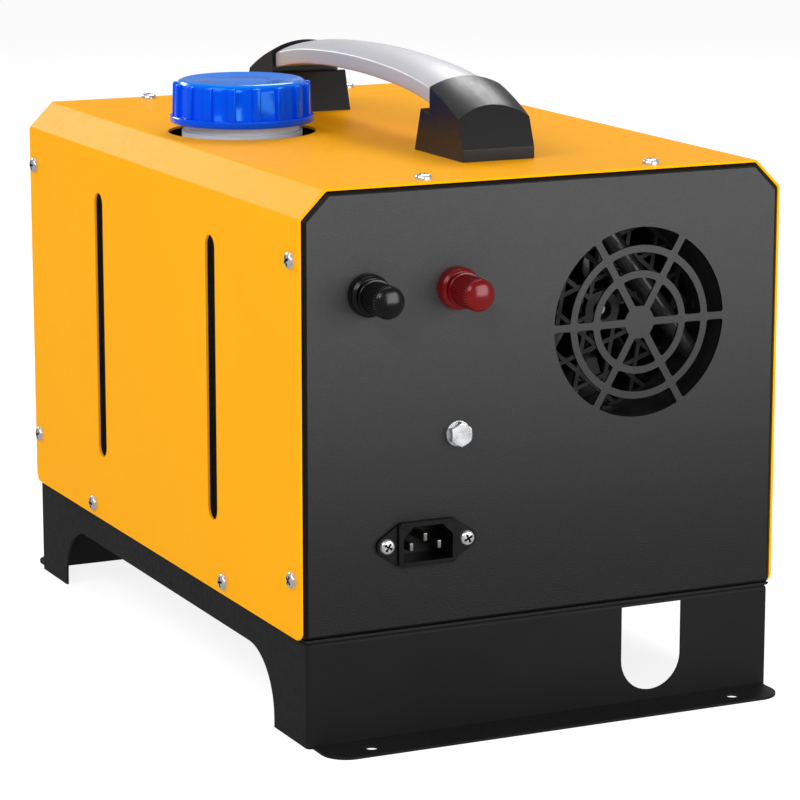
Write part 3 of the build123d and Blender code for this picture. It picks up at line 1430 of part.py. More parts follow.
def make_board():
    outline_2d = RectangleRounded(board_w, board_h, 2)
    body = prism_y(on_display(outline_2d), board_face - board_thick, board_face)
    block_2d = Pos(0, lens_up) * Rectangle(lens_w - 2 * lens_ledge - 2, lens_h - 2 * lens_ledge - 2)
    body += prism_y(on_display(block_2d), board_face, board_face + display_block)
    switches = Sketch() + [Pos(x, z) * Rectangle(6, 6) for x, z in button_spots()]
    top = bezel_face - bezel_wall - button_flange - button_travel - flat_gap
    body += prism_y(on_display(switches), board_face, top - 1)
    stems = Sketch() + [Pos(x, z) * Circle(1.75) for x, z in button_spots()]
    return body + prism_y(on_display(stems), board_face, top)


parts["bezel"] = make_bezel()
lens_shape = on_display(Pos(0, lens_up) * Rectangle(lens_w, lens_h))
parts["display_lens"] = prism_y(lens_shape, bezel_face - lens_thick, bezel_face)
parts["control_board"] = make_board()
button_names = ("button_power", "button_down", "button_up", "button_set")
for button_name, (button_x, button_z) in zip(button_names, button_spots()):
    parts[button_name] = make_button(button_x, button_z)


# ---------------------------------------------------------------- written out
os.makedirs("parts", exist_ok=True)
for part_name, shape in parts.items():
    export_step(shape, f"parts/{part_name}.step")
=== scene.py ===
"""Looks of a portable diesel air heater: finishes for its solids, and finer pieces where detail shows."""

import json
import math
import random

import bmesh
import bpy
from bpy.props import FloatProperty, FloatVectorProperty, IntProperty, PointerProperty
from mathutils import Euler, Matrix, Vector


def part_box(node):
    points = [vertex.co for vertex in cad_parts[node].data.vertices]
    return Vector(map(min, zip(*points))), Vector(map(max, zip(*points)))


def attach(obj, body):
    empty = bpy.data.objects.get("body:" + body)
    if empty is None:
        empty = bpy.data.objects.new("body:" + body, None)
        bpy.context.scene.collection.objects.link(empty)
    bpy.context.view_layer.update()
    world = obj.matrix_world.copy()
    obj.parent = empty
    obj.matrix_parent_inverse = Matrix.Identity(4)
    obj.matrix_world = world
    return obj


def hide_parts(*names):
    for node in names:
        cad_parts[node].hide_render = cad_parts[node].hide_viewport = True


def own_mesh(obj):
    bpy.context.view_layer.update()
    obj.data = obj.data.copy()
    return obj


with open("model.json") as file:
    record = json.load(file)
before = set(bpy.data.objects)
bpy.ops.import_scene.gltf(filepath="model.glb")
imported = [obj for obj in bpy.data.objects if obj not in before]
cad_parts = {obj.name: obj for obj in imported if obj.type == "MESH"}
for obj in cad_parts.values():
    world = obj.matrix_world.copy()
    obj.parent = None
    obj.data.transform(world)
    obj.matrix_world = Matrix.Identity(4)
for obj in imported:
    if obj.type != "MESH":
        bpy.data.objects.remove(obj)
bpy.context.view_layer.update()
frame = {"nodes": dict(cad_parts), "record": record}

bl_info = {
    "name": "Portable air heater",
    "version": (1, 0, 0),
    "blender": (4, 5, 0),
    "location": "3D View > Sidebar > Heater",
    "description": "Finishes and fine pieces of a portable diesel air heater",
    "category": "Object",
}

MM = 0.001
# in millimetres; the fan, the burner unit and the vent share the unit's axis
COVER_TOP, REAR_FACE = 254.0, -178.0
UNIT_X, UNIT_Z = 47.9, 182.5
BODY_OF = {node: body for body, nodes in frame["record"]["behaviour"]["bodies"].items() for node in nodes}
SLOT_OF = {part["node"]: part["material_slot"] for part in frame["record"]["subparts"]}


# ---------------------------------------------------------------- what a user would change
def colour(label, about, red, green, blue):
    return FloatVectorProperty(name=label, description=about, subtype="COLOR", size=3, min=0.0, max=1.0,
                               default=(red, green, blue))


def length(label, about, millimetres):
    return FloatProperty(name=label, description=about, default=millimetres * MM, min=0.0,
                         subtype="DISTANCE", unit="LENGTH", precision=5)


class HeaterColours(bpy.types.PropertyGroup):
    """Base colours of the finishes."""

    cover: colour("Cover", "Powder coat of the folded cover", 0.93, 0.4, 0.002)
    panel: colour("Panels", "Textured coat of the end panels", 0.018, 0.018, 0.0184)
    stand: colour("Stand", "Satin coat of the stand", 0.013, 0.013, 0.0134)
    grip: colour("Grip", "Silver-grey grip of the handle", 0.52, 0.52, 0.555)
    block: colour("Handle ends", "Black blocks that hold the grip", 0.004, 0.004, 0.0044)
    cap: colour("Fuel cap", "Glossy cap of the tank", 0.0, 0.075, 0.86)
    tank: colour("Tank", "Moulded tank and its neck", 0.84, 0.9, 1.0)
    red_knob: colour("Red knob", "Positive terminal", 0.15, 0.0002, 0.0012)
    plating: colour("Plating", "Bright zinc of the screws", 0.8, 0.81, 0.83)


class HeaterSizes(bpy.types.PropertyGroup):
    """Sizes and counts of the finer pieces."""

    edge: length("Edge rounding", "Broken edge of cut sheet and moulded parts", 0.3)
    screw_head: length("Case screw head", "Radius of the case screws' heads", 4.0)
    fitting_head: length("Fitting screw head", "Radius of the smaller screws' heads", 3.5)
    cap_ribs: IntProperty(name="Cap ribs", description="Ribs round the fuel cap",
                          default=17, min=6, max=40)
    knob_ribs: IntProperty(name="Knob ribs", description="Ribs round each terminal knob",
                           default=36, min=12, max=60)
    fan_blades: IntProperty(name="Fan blades", description="Blades of the cooling fan",
                            default=7, min=3, max=13)
    thread_turns: FloatProperty(name="Neck thread", description="Turns of thread on the tank's neck",
                                default=2.5, min=1.0, max=5.0)


# ---------------------------------------------------------------- materials
def new_material(name, base, roughness, metallic=0.0, specular=0.5, tint=(1.0, 1.0, 1.0)):
    """Principled material with its even values on the shader's own sockets."""
    material = bpy.data.materials.new(name)
    material.use_nodes = True
    shader = material.node_tree.nodes["Principled BSDF"]
    shader.inputs["Base Color"].default_value = (*base, 1.0)
    shader.inputs["Roughness"].default_value = roughness
    shader.inputs["Metallic"].default_value = metallic
    shader.inputs["Specular IOR Level"].default_value = specular
    shader.inputs["Specular Tint"].default_value = (*tint, 1.0)
    material.diffuse_color = (*base, 1.0)
    return material


def noise(tree, scale, detail=3.0, stretch=(1.0, 1.0, 1.0)):
    """Noise in the piece's own metres, its output from 0 to 1."""
    place = tree.nodes.new("ShaderNodeTexCoord")
    turn = tree.nodes.new("ShaderNodeMapping")
    turn.inputs["Scale"].default_value = stretch
    pattern = tree.nodes.new("ShaderNodeTexNoise")
    pattern.inputs["Scale"].default_value = scale
    pattern.inputs["Detail"].default_value = detail
    tree.links.new(place.outputs["Object"], turn.inputs["Vector"])
    tree.links.new(turn.outputs["Vector"], pattern.inputs["Vector"])
    return pattern.outputs["Fac"]


def ramp_colour(tree, shader, factor, low, high, start=0.3, end=0.7):
    """Base colour between two colours, as the factor goes from start to end."""
    ramp = tree.nodes.new("ShaderNodeValToRGB")
    ramp.color_ramp.elements[0].position = start
    ramp.color_ramp.elements[1].position = end
    ramp.color_ramp.elements[0].color = (*low, 1.0)
    ramp.color_ramp.elements[1].color = (*high, 1.0)
    tree.links.new(factor, ramp.inputs["Fac"])
    tree.links.new(ramp.outputs["Color"], shader.inputs["Base Color"])


def ramp_roughness(tree, shader, factor, low, high):
    """Roughness between two values, over the middle of a noise's range."""
    spread = tree.nodes.new("ShaderNodeMapRange")
    spread.inputs["From Min"].default_value = 0.3
    spread.inputs["From Max"].default_value = 0.7
    spread.inputs["To Min"].default_value = low
    spread.inputs["To Max"].default_value = high
    tree.links.new(factor, spread.inputs["Value"])
    tree.links.new(spread.outputs["Result"], shader.inputs["Roughness"])


def bump(tree, shader, height, strength, depth):
    """Relief of the given depth in metres."""
    relief = tree.nodes.new("ShaderNodeBump")
    relief.inputs["Strength"].default_value = strength
    relief.inputs["Distance"].default_value = depth
    tree.links.new(height, relief.inputs["Height"])
    tree.links.new(relief.outputs["Normal"], shader.inputs["Normal"])


def shade(base, factor):
    """A colour made darker or lighter."""
    return tuple(min(1.0, c * factor) for c in base)


def coated(name, base, roughness, spread, grain, depth, vary, metallic=0.0, specular=0.5,
           cloud=14.0, stretch=(1.0, 1.0, 1.0), tint=(1.0, 1.0, 1.0)):
    """A finish with faint clouds of colour, uneven gloss and a fine relief.

    Roughness varies by its spread, and colour by the share vary. Grain and cloud are the noises' scales,
    depth is the relief's in metres, and stretch draws the grain out, as on brushed sheet.
    """
    material = new_material(name, base, roughness, metallic, specular, tint)
    tree = material.node_tree
    shader = tree.nodes["Principled BSDF"]
    ramp_colour(tree, shader, noise(tree, cloud, 4.0), shade(base, 1 - vary), shade(base, 1 + vary))
    gloss = noise(tree, grain * 0.2, 4.0, stretch)
    ramp_roughness(tree, shader, gloss, roughness - spread, roughness + spread)
    bump(tree, shader, noise(tree, grain, 2.0, stretch), 0.5, depth)
    return material


def recessed(material, dark):
    """Painted shade: the colour goes dark where the mesh marks it, in the sunk cross of screws, or round a
    folded edge.
    """
    tree = material.node_tree
    base = tree.nodes["Principled BSDF"].inputs["Base Color"]
    plain = base.links[0].from_socket
    depth = tree.nodes.new("ShaderNodeAttribute")
    depth.attribute_name = "recess"
    blend = tree.nodes.new("ShaderNodeMix")
    blend.data_type = "RGBA"
    blend.inputs["B"].default_value = (dark, dark, dark, 1.0)
    tree.links.new(depth.outputs["Fac"], blend.inputs["Factor"])
    tree.links.new(plain, blend.inputs["A"])
    tree.links.new(blend.outputs["Result"], base)
    return material


def painted_height_light(material, low, high, dim, bright):
    """Painted light: the finish's colour is multiplied by dim at the low height, in metres, and by bright
    at the high, so that it reads lit at the top and shaded low down.
    """
    tree = material.node_tree
    base = tree.nodes["Principled BSDF"].inputs["Base Color"]
    plain = base.links[0].from_socket
    place = tree.nodes.new("ShaderNodeTexCoord")
    axes = tree.nodes.new("ShaderNodeSeparateXYZ")
    level = tree.nodes.new("ShaderNodeMapRange")
    level.interpolation_type = "SMOOTHSTEP"
    level.inputs["From Min"].default_value = low
    level.inputs["From Max"].default_value = high
    strength = tree.nodes.new("ShaderNodeMix")
    strength.data_type = "RGBA"
    strength.inputs["A"].default_value = (*dim, 1.0)
    strength.inputs["B"].default_value = (*bright, 1.0)
    blend = tree.nodes.new("ShaderNodeVectorMath")
    blend.operation = "MULTIPLY"
    tree.links.new(place.outputs["Object"], axes.inputs["Vector"])
    tree.links.new(axes.outputs["Z"], level.inputs["Value"])
    tree.links.new(level.outputs["Result"], strength.inputs["Factor"])
    tree.links.new(plain, blend.inputs[0])
    tree.links.new(strength.outputs["Result"], blend.inputs[1])
    tree.links.new(blend.outputs["Vector"], base)
    return material


def foam(name, base):
    """Open-cell foam: dark pits between lighter walls; the pits' darkness is painted shade over the cells'
    relief.
    """
    cell_scale, cell_depth = 900.0, 0.0006
    material = new_material(name, base, 0.95, specular=0.04)
    tree = material.node_tree
    shader = tree.nodes["Principled BSDF"]
    place = tree.nodes.new("ShaderNodeTexCoord")
    cells = tree.nodes.new("ShaderNodeTexVoronoi")
    cells.inputs["Scale"].default_value = cell_scale
    tree.links.new(place.outputs["Object"], cells.inputs["Vector"])
    ramp_colour(tree, shader, cells.outputs["Distance"], shade(base, 0.3), shade(base, 1.6), 0.1, 0.6)
    bump(tree, shader, cells.outputs["Distance"], 0.8, cell_depth)
    return material


def clear(name, base, roughness, spread):
    """Smoked acrylic with a faintly uneven gloss."""
    material = new_material(name, base, roughness)
    tree = material.node_tree
    shader = tree.nodes["Principled BSDF"]
    shader.inputs["Transmission Weight"].default_value = 0.85
    shader.inputs["IOR"].default_value = 1.49
    ramp_roughness(tree, shader, noise(tree, 60.0), roughness, roughness + spread)
    return material


def materials():
    """The finishes by material slot, made once."""
    if materials.made:
        return materials.made
    c = bpy.context.scene.heater_colours
    # The panels' colour clouds share the grain's scale, so they are darker in the relief's hollows: painted
    # shade.
    panel = coated("textured black coat", tuple(c.panel), 0.46, 0.06, 1500.0, 0.0005, 0.16, specular=0.2,
                   cloud=1500.0)
    # Painted light and shade: the panels are darker towards their bottom and lighter towards their top.
    panel = painted_height_light(panel, 0.05, 0.25, (0.55, 0.55, 0.55), (2.75, 2.75, 2.75))
    zinc = coated("bright zinc", tuple(c.plating), 0.26, 0.08, 900.0, 0.00002, 0.08, metallic=0.85)
    blue = coated("glossy blue plastic", tuple(c.cap), 0.15, 0.03, 500.0, 0.00003, 0.05,
                  tint=(0.15, 0.65, 1.0))
    # colour, roughness and its spread, scale and depth of the grain, share that the colour varies
    made = {
        "cover_yellow": coated("yellow powder coat", tuple(c.cover), 0.36, 0.05, 1400.0, 0.00005, 0.015,
                               specular=0.025, tint=(1.0, 0.5, 0.04)),
        # Painted shade: the panels' folded edges go near black.
        "panel_black": recessed(panel, 0.002),
        "stand_black": coated("satin black coat", tuple(c.stand), 0.42, 0.06, 1800.0, 0.00006, 0.12,
                              specular=0.05),
        # Painted shade: the screws' sunk crosses go dark.
        "zinc": recessed(zinc, 0.02),
        "grip_silver": coated("silver-grey plastic", tuple(c.grip), 0.42, 0.04, 1500.0, 0.00003, 0.02,
                              metallic=0.25),
        "handle_black": coated("satin black plastic", tuple(c.block), 0.33, 0.05, 2600.0, 0.00007, 0.15,
                               specular=0.26),
        "tank_grey": coated("moulded grey plastic", tuple(c.tank), 0.42, 0.06, 500.0, 0.00005, 0.04),
        # Painted light: the cap's top is painted a lighter blue than its sides.
        "cap_blue": painted_height_light(blue, 0.277, 0.2795, (1.0, 1.0, 1.0), (1.0, 2.6, 1.0)),
        "rubber_black": coated("black rubber", (0.02, 0.02, 0.021), 0.55, 0.08, 700.0, 0.00008, 0.2),
        "foam_black": foam("black foam", (0.003, 0.003, 0.0033)),
        "cast_alloy": coated("cast aluminium", (0.55, 0.55, 0.56), 0.46, 0.08, 700.0, 0.0002, 0.1,
                             metallic=0.9),
        "steel": coated("plain steel", (0.3, 0.3, 0.31), 0.36, 0.08, 500.0, 0.00004, 0.1, metallic=1.0,
                        stretch=(1.0, 8.0, 1.0)),
        "unit_black": coated("dark moulded plastic", (0.014, 0.014, 0.015), 0.36, 0.06, 1200.0, 0.0001,
                             0.12, specular=0.3),
        "fan_black": coated("glossy black plastic", (0.004, 0.004, 0.0045), 0.2, 0.04, 400.0, 0.00003,
                            0.2, specular=0.35),
        "knob_black": coated("gloss black knob", (0.001, 0.001, 0.0012), 0.19, 0.04, 600.0, 0.00003, 0.2,
                             specular=0.4),
        "knob_red": coated("gloss red knob", tuple(c.red_knob), 0.21, 0.04, 600.0, 0.00003, 0.1,
                           specular=0.6, tint=(1.0, 0.65, 0.65)),
        "brass": coated("brass", (0.72, 0.5, 0.18), 0.28, 0.06, 600.0, 0.00003, 0.08, metallic=1.0),
        "inlet_black": coated("satin dark plastic", (0.003, 0.003, 0.0033), 0.32, 0.05, 1500.0, 0.00006,
                              0.1, specular=0.24),
        "pin_nickel": coated("nickel", (0.3, 0.29, 0.27), 0.3, 0.06, 500.0, 0.00002, 0.05, metallic=1.0),
        "supply_case": coated("sheet aluminium", (0.6, 0.61, 0.62), 0.4, 0.08, 500.0, 0.00004, 0.06,
                              metallic=1.0, stretch=(8.0, 1.0, 1.0)),
        "bezel_black": coated("semi-gloss black plastic", (0.013, 0.013, 0.014), 0.3, 0.05, 2000.0,
                              0.00004, 0.15),
        "lens_clear": clear("smoked window", (0.35, 0.4, 0.42), 0.04, 0.04),
        "board_green": coated("circuit board", (0.02, 0.1, 0.045), 0.4, 0.08, 900.0, 0.00005, 0.15),
        "button_grey": coated("soft grey rubber", (0.16, 0.165, 0.175), 0.6, 0.05, 1500.0, 0.00005, 0.05),
        "lead_black": coated("wire insulation", (0.012, 0.012, 0.0125), 0.26, 0.05, 900.0, 0.00003, 0.1),
    }
    materials.made = made
    return made


materials.made = {}


# ---------------------------------------------------------------- mesh helpers
def crisp(mesh, limit=33.0):
    """Smooth faces, with edges sharper than the limit kept sharp."""
    work = bmesh.new()
    work.from_mesh(mesh)
    for edge in work.edges:
        edge.smooth = len(edge.link_faces) == 2 and edge.calc_face_angle(0.0) < math.radians(limit)
    for face in work.faces:
        face.smooth = True
    work.to_mesh(mesh)
    work.free()


def settled(piece, limit=40.0):
    """Sharp edges kept sharp, and the normals of flat faces kept flat beside rounded edges."""
    crisp(piece.data, limit)
    even = piece.modifiers.new("normals", "WEIGHTED_NORMAL")
    even.keep_sharp = True
    even.weight = 60
    return baked(piece)


def new_piece(name, mesh):
    """Object at the origin that carries a mesh, a lamp or a camera."""
    piece = bpy.data.objects.new(name, mesh)
    bpy.context.scene.collection.objects.link(piece)
    return piece


def mesh_from(name, points, faces):
    """Mesh of points and faces, its doubles merged and its faces turned outwards."""
    mesh = bpy.data.meshes.new(name)
    mesh.from_pydata([tuple(p) for p in points], [], faces)
    work = bmesh.new()
    work.from_mesh(mesh)
    bmesh.ops.remove_doubles(work, verts=work.verts, dist=1e-7)
    bmesh.ops.recalc_face_normals(work, faces=work.faces)
    work.to_mesh(mesh)
    work.free()
    return mesh


def lathe(name, profile, centre, axis="Z", segments=96):
    """Closed profile of (radius, height) in metres, turned about an axis through the centre."""
    ends = [i for i, (radius, _) in enumerate(profile) if radius < 1e-9]
    points, faces, rows = [], [], []
    for i, (radius, height) in enumerate(profile):
        count = 1 if i in ends else segments
        row = []
        for n in range(count):
            angle = 2 * math.pi * n / segments
            a, b = radius * math.cos(angle), radius * math.sin(angle)
            spot = Vector((a, b, height)) if axis == "Z" else Vector((a, height, b))
            row.append(len(points))
            points.append(Vector(centre) + spot)
        rows.append(row)
    pairs = list(zip(rows, rows[1:]))
    if not ends:
        pairs.append((rows[-1], rows[0]))
    for low, high in pairs:
        for n in range(segments):
            m = (n + 1) % segments
            corners = [low[n % len(low)], low[m % len(low)], high[m % len(high)], high[n % len(high)]]
            corners = list(dict.fromkeys(corners))
            if len(corners) > 2:
                faces.append(corners)
    return mesh_from(name, points, faces)


def rounded(points, radius, steps=4, keep=()):
    """Profile whose corners are rounded, apart from the kept ones."""
    out = []
    count = len(points)
    for i, corner in enumerate(points):
        corner = Vector(corner)
        before, after = Vector(points[i - 1]), Vector(points[(i + 1) % count])
        if i in keep:
            out.append(tuple(corner))
            continue
        back, ahead = before - corner, after - corner
        reach = min(radius, back.length * 0.45, ahead.length * 0.45)
        first, last = corner + back.normalized() * reach, corner + ahead.normalized() * reach
        for n in range(steps + 1):
            t = n / steps
            out.append(tuple(first * (1 - t) ** 2 + corner * 2 * t * (1 - t) + last * t ** 2))
    return out


def merged_copy(node, name):
    """A tidy copy of a solid's mesh: doubles merged and flat faces made whole."""
    mesh = frame["nodes"][node].data.copy()
    mesh.name = name
    mesh.materials.clear()
    work = bmesh.new()
    work.from_mesh(mesh)
    bmesh.ops.remove_doubles(work, verts=work.verts, dist=2e-6)
    bmesh.ops.dissolve_limit(work, angle_limit=math.radians(0.5), verts=work.verts, edges=work.edges)
    work.to_mesh(mesh)
    work.free()
    if "custom_normal" in mesh.attributes:
        mesh.attributes.remove(mesh.attributes["custom_normal"])
    return mesh


def baked(piece):
    """The piece with its modifiers turned into plain mesh."""
    graph = bpy.context.evaluated_depsgraph_get()
    mesh = bpy.data.meshes.new_from_object(piece.evaluated_get(graph))
    piece.modifiers.clear()
    piece.data = mesh
    return piece


def dress(piece, *nodes, slot=None, body=None):
    """Gives a finished piece its material and body, and lets it stand for the named solids."""
    slot = slot or SLOT_OF[nodes[0]]
    piece.data.materials.clear()
    piece.data.materials.append(materials()[slot])
    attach(piece, body or BODY_OF[nodes[0]])
    if nodes:
        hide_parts(*nodes)
    return piece


def softened(node, width, segments=2):
    """A copy of a solid with its edges broken, as cut sheet and moulded parts have them."""
    piece = new_piece(f"{node}_finish", merged_copy(node, f"{node}_finish"))
    edge = piece.modifiers.new("edges", "BEVEL")
    edge.width = width
    edge.segments = segments
    edge.limit_method = "ANGLE"
    edge.angle_limit = math.radians(35.0)
    edge.use_clamp_overlap = True
    baked(piece)
    settled(piece, 50.0)
    return dress(piece, node)


def smoothed(node, name=None):
    """A copy of a solid with its shading made even and its shape as it is."""
    name = name or f"{node}_finish"
    return dress(settled(new_piece(name, merged_copy(node, name))), node)


def finish_solids(*nodes):
    """Solids that keep their own mesh get their material."""
    for node in nodes:
        data = frame["nodes"][node].data
        data.materials.clear()
        data.materials.append(materials()[SLOT_OF[node]])


# ---------------------------------------------------------------- geometry node trees
def new_tree(name, inputs):
    """Empty tree with the named inputs, its input node and its output node."""
    tree = bpy.data.node_groups.new(name, "GeometryNodeTree")
    tree.interface.new_socket("Geometry", in_out="INPUT", socket_type="NodeSocketGeometry")
    for label, kind in inputs:
        tree.interface.new_socket(label, in_out="INPUT", socket_type=kind)
    tree.interface.new_socket("Geometry", in_out="OUTPUT", socket_type="NodeSocketGeometry")
    return tree, tree.nodes.new("NodeGroupInput"), tree.nodes.new("NodeGroupOutput")


def finish_tree(tree, given, result, output):
    """Every tree ends in real mesh with the given material."""
    real = tree.nodes.new("GeometryNodeRealizeInstances")
    paint = tree.nodes.new("GeometryNodeSetMaterial")
    tree.links.new(result, real.inputs["Geometry"])
    tree.links.new(real.outputs["Geometry"], paint.inputs["Geometry"])
    tree.links.new(given.outputs["Material"], paint.inputs["Material"])
    tree.links.new(paint.outputs["Geometry"], output.inputs["Geometry"])


def ring_tree():
    """Copies of the object's own mesh, evenly turned about an axis."""
    tree, given, output = new_tree("Copies around an axis", [
        ("Count", "NodeSocketInt"), ("Axis", "NodeSocketVector"), ("Centre", "NodeSocketVector"),
        ("Material", "NodeSocketMaterial")])
    add, link = tree.nodes.new, tree.links.new
    line = add("GeometryNodeMeshLine")
    line.inputs["Offset"].default_value = (0.0, 0.0, 0.0)
    copies = add("GeometryNodeInstanceOnPoints")
    index = add("GeometryNodeInputIndex")
    share = add("ShaderNodeMath")
    share.operation = "DIVIDE"
    angle = add("ShaderNodeMath")
    angle.operation = "MULTIPLY"
    angle.inputs[1].default_value = 2 * math.pi
    turn = add("FunctionNodeAxisAngleToRotation")
    rotate = add("GeometryNodeRotateInstances")
    rotate.inputs["Local Space"].default_value = False
    link(given.outputs["Count"], line.inputs["Count"])
    link(line.outputs["Mesh"], copies.inputs["Points"])
    link(given.outputs["Geometry"], copies.inputs["Instance"])
    link(index.outputs["Index"], share.inputs[0])
    link(given.outputs["Count"], share.inputs[1])
    link(share.outputs["Value"], angle.inputs[0])
    link(given.outputs["Axis"], turn.inputs["Axis"])
    link(angle.outputs["Value"], turn.inputs["Angle"])
    link(copies.outputs["Instances"], rotate.inputs["Instances"])
    link(turn.outputs["Rotation"], rotate.inputs["Rotation"])
    link(given.outputs["Centre"], rotate.inputs["Pivot Point"])
    finish_tree(tree, given, rotate.outputs["Instances"], output)
    return tree


def marks_tree():
    """A template set on each of the mesh's points, its Z along the point's facing, turned by its spin."""
    tree, given, output = new_tree("Copies at marks", [
        ("Template", "NodeSocketObject"), ("Material", "NodeSocketMaterial")])
    add, link = tree.nodes.new, tree.links.new
    template = add("GeometryNodeObjectInfo")
    facing = add("GeometryNodeInputNamedAttribute")
    facing.data_type = "FLOAT_VECTOR"
    facing.inputs["Name"].default_value = "facing"
    spin = add("GeometryNodeInputNamedAttribute")
    spin.data_type = "FLOAT"
    spin.inputs["Name"].default_value = "spin"
    align = add("FunctionNodeAlignRotationToVector")
    align.axis = "Z"
    around = add("FunctionNodeAxisAngleToRotation")
    around.inputs["Axis"].default_value = (0.0, 0.0, 1.0)
    turn = add("FunctionNodeRotateRotation")
    turn.rotation_space = "LOCAL"
    copies = add("GeometryNodeInstanceOnPoints")
    link(given.outputs["Template"], template.inputs["Object"])
    link(facing.outputs["Attribute"], align.inputs["Vector"])
    link(spin.outputs["Attribute"], around.inputs["Angle"])
    link(align.outputs["Rotation"], turn.inputs["Rotation"])
    link(around.outputs["Rotation"], turn.inputs["Rotate By"])
    link(given.outputs["Geometry"], copies.inputs["Points"])
    link(template.outputs["Geometry"], copies.inputs["Instance"])
    link(turn.outputs["Rotation"], copies.inputs["Rotation"])
    finish_tree(tree, given, copies.outputs["Instances"], output)
    return tree


def thread_tree():
    """A raised thread that climbs round the Z axis at the centre."""
    tree, given, output = new_tree("Thread", [
        ("Turns", "NodeSocketFloat"), ("Radius", "NodeSocketFloat"), ("Height", "NodeSocketFloat"),
        ("Ridge", "NodeSocketFloat"), ("Centre", "NodeSocketVector"), ("Material", "NodeSocketMaterial")])
    add, link = tree.nodes.new, tree.links.new
    coil = add("GeometryNodeCurveSpiral")
    coil.inputs["Resolution"].default_value = 64
    ridge = add("GeometryNodeCurvePrimitiveCircle")
    ridge.inputs["Resolution"].default_value = 6
    solid = add("GeometryNodeCurveToMesh")
    solid.inputs["Fill Caps"].default_value = True
    move = add("GeometryNodeTransform")
    link(given.outputs["Turns"], coil.inputs["Rotations"])
    link(given.outputs["Radius"], coil.inputs["Start Radius"])
    link(given.outputs["Radius"], coil.inputs["End Radius"])
    link(given.outputs["Height"], coil.inputs["Height"])
    link(given.outputs["Ridge"], ridge.inputs["Radius"])
    link(coil.outputs["Curve"], solid.inputs["Curve"])
    link(ridge.outputs["Curve"], solid.inputs["Profile Curve"])
    link(solid.outputs["Mesh"], move.inputs["Geometry"])
    link(given.outputs["Centre"], move.inputs["Translation"])
    finish_tree(tree, given, move.outputs["Geometry"], output)
    return tree


def grow(piece, tree, values):
    """Runs a tree on a piece with the given inputs and keeps the plain mesh."""
    build = piece.modifiers.new("build", "NODES")
    build.node_group = tree
    for item in tree.interface.items_tree:
        if item.in_out == "INPUT" and item.name in values:
            build[item.identifier] = values[item.name]
    return baked(piece)


def join_meshes(name, *meshes):
    """One mesh of several."""
    work = bmesh.new()
    for mesh in meshes:
        work.from_mesh(mesh)
    out = bpy.data.meshes.new(name)
    work.to_mesh(out)
    work.free()
    return out


def box_of(name, low, high, width, segments=2):
    """Box between two corners with rounded edges."""
    size = Vector(high) - Vector(low)
    work = bmesh.new()
    bmesh.ops.create_cube(work, size=1.0)
    bmesh.ops.scale(work, vec=size, verts=work.verts)
    bmesh.ops.translate(work, vec=(Vector(high) + Vector(low)) / 2, verts=work.verts)
    bmesh.ops.bevel(work, geom=work.edges[:], offset=width, segments=segments, profile=0.5,
                    affect="EDGES")
    mesh = bpy.data.meshes.new(name)
    work.to_mesh(mesh)
    work.free()
    return mesh


# ---------------------------------------------------------------- operators
class Maker:
    """What the operators share."""

    bl_options = {"REGISTER", "UNDO"}

    def execute(self, context):
        self.make(context.scene.heater_sizes)
        return {"FINISHED"}


def area_light(name, place, target, size, power):
    """Soft lamp turned towards its target."""
    lamp = bpy.data.lights.new(name, "AREA")
    lamp.shape = "RECTANGLE"
    lamp.size, lamp.size_y = size
    lamp.energy = power
    light = new_piece(name, lamp)
    light.location = place
    light.rotation_euler = (Vector(target) - Vector(place)).to_track_quat("-Z", "Y").to_euler()
    light.visible_camera = False
    return light


class HEATER_OT_stage(Maker, bpy.types.Operator):
    """Pale floor, soft studio light and the camera"""

    bl_idname = "heater.stage"
    bl_label = "Stage"

    def make(self, sizes):
        half, glow = 30.0, 0.86
        corners = [(-half, -half, 0), (half, -half, 0), (half, half, 0), (-half, half, 0)]
        floor = new_piece("floor", mesh_from("floor", corners, [(0, 1, 2, 3)]))
        pale = new_material("pale floor", (0.3, 0.3, 0.3), 0.9, specular=0.0)
        shader = pale.node_tree.nodes["Principled BSDF"]
        shader.inputs["Emission Color"].default_value = (1.0, 1.0, 1.0, 1.0)
        shader.inputs["Emission Strength"].default_value = glow
        floor.data.materials.append(pale)
        floor.visible_glossy = False
        world = bpy.data.worlds.new("studio")
        world.use_nodes = True
        sky = world.node_tree.nodes["Background"]
        sky.inputs["Color"].default_value = (1.0, 1.0, 1.0, 1.0)
        sky.inputs["Strength"].default_value = 0.3
        bpy.context.scene.world = world
        bpy.context.scene.view_settings.view_transform = "Standard"
        middle = (0.0, 0.0, 0.15)
        area_light("side", (-1.3, -0.3, 1.2), middle, (0.8, 0.8), 9.0)
        area_light("key", (-1.0, -1.5, 1.1), middle, (0.5, 0.5), 7.0)
        area_light("front", (0.4, -1.05, 0.36), (0.0, -0.18, 0.2), (0.8, 0.6), 7.0)
        area_light("top", (0.1, 0.2, 1.8), middle, (1.4, 1.2), 4.5)
        area_light("back", (0.85, 1.1, 1.7), middle, (0.8, 0.8), 20.0)
        area_light("rim", (-0.6, 1.9, 1.0), middle, (0.9, 0.5), 12.0)
        lens = bpy.data.cameras.new("camera")
        lens.lens = 151.6
        lens.sensor_width = 36.0
        lens.clip_end = 100.0
        camera = new_piece("camera", lens)
        camera.location = (-0.7041, -1.5076, 0.4664)
        dip, heading = math.radians(11.88), math.radians(-25.357)
        camera.rotation_euler = Euler((math.pi / 2 - dip, 0.0, heading), "XYZ")
        bpy.context.scene.camera = camera


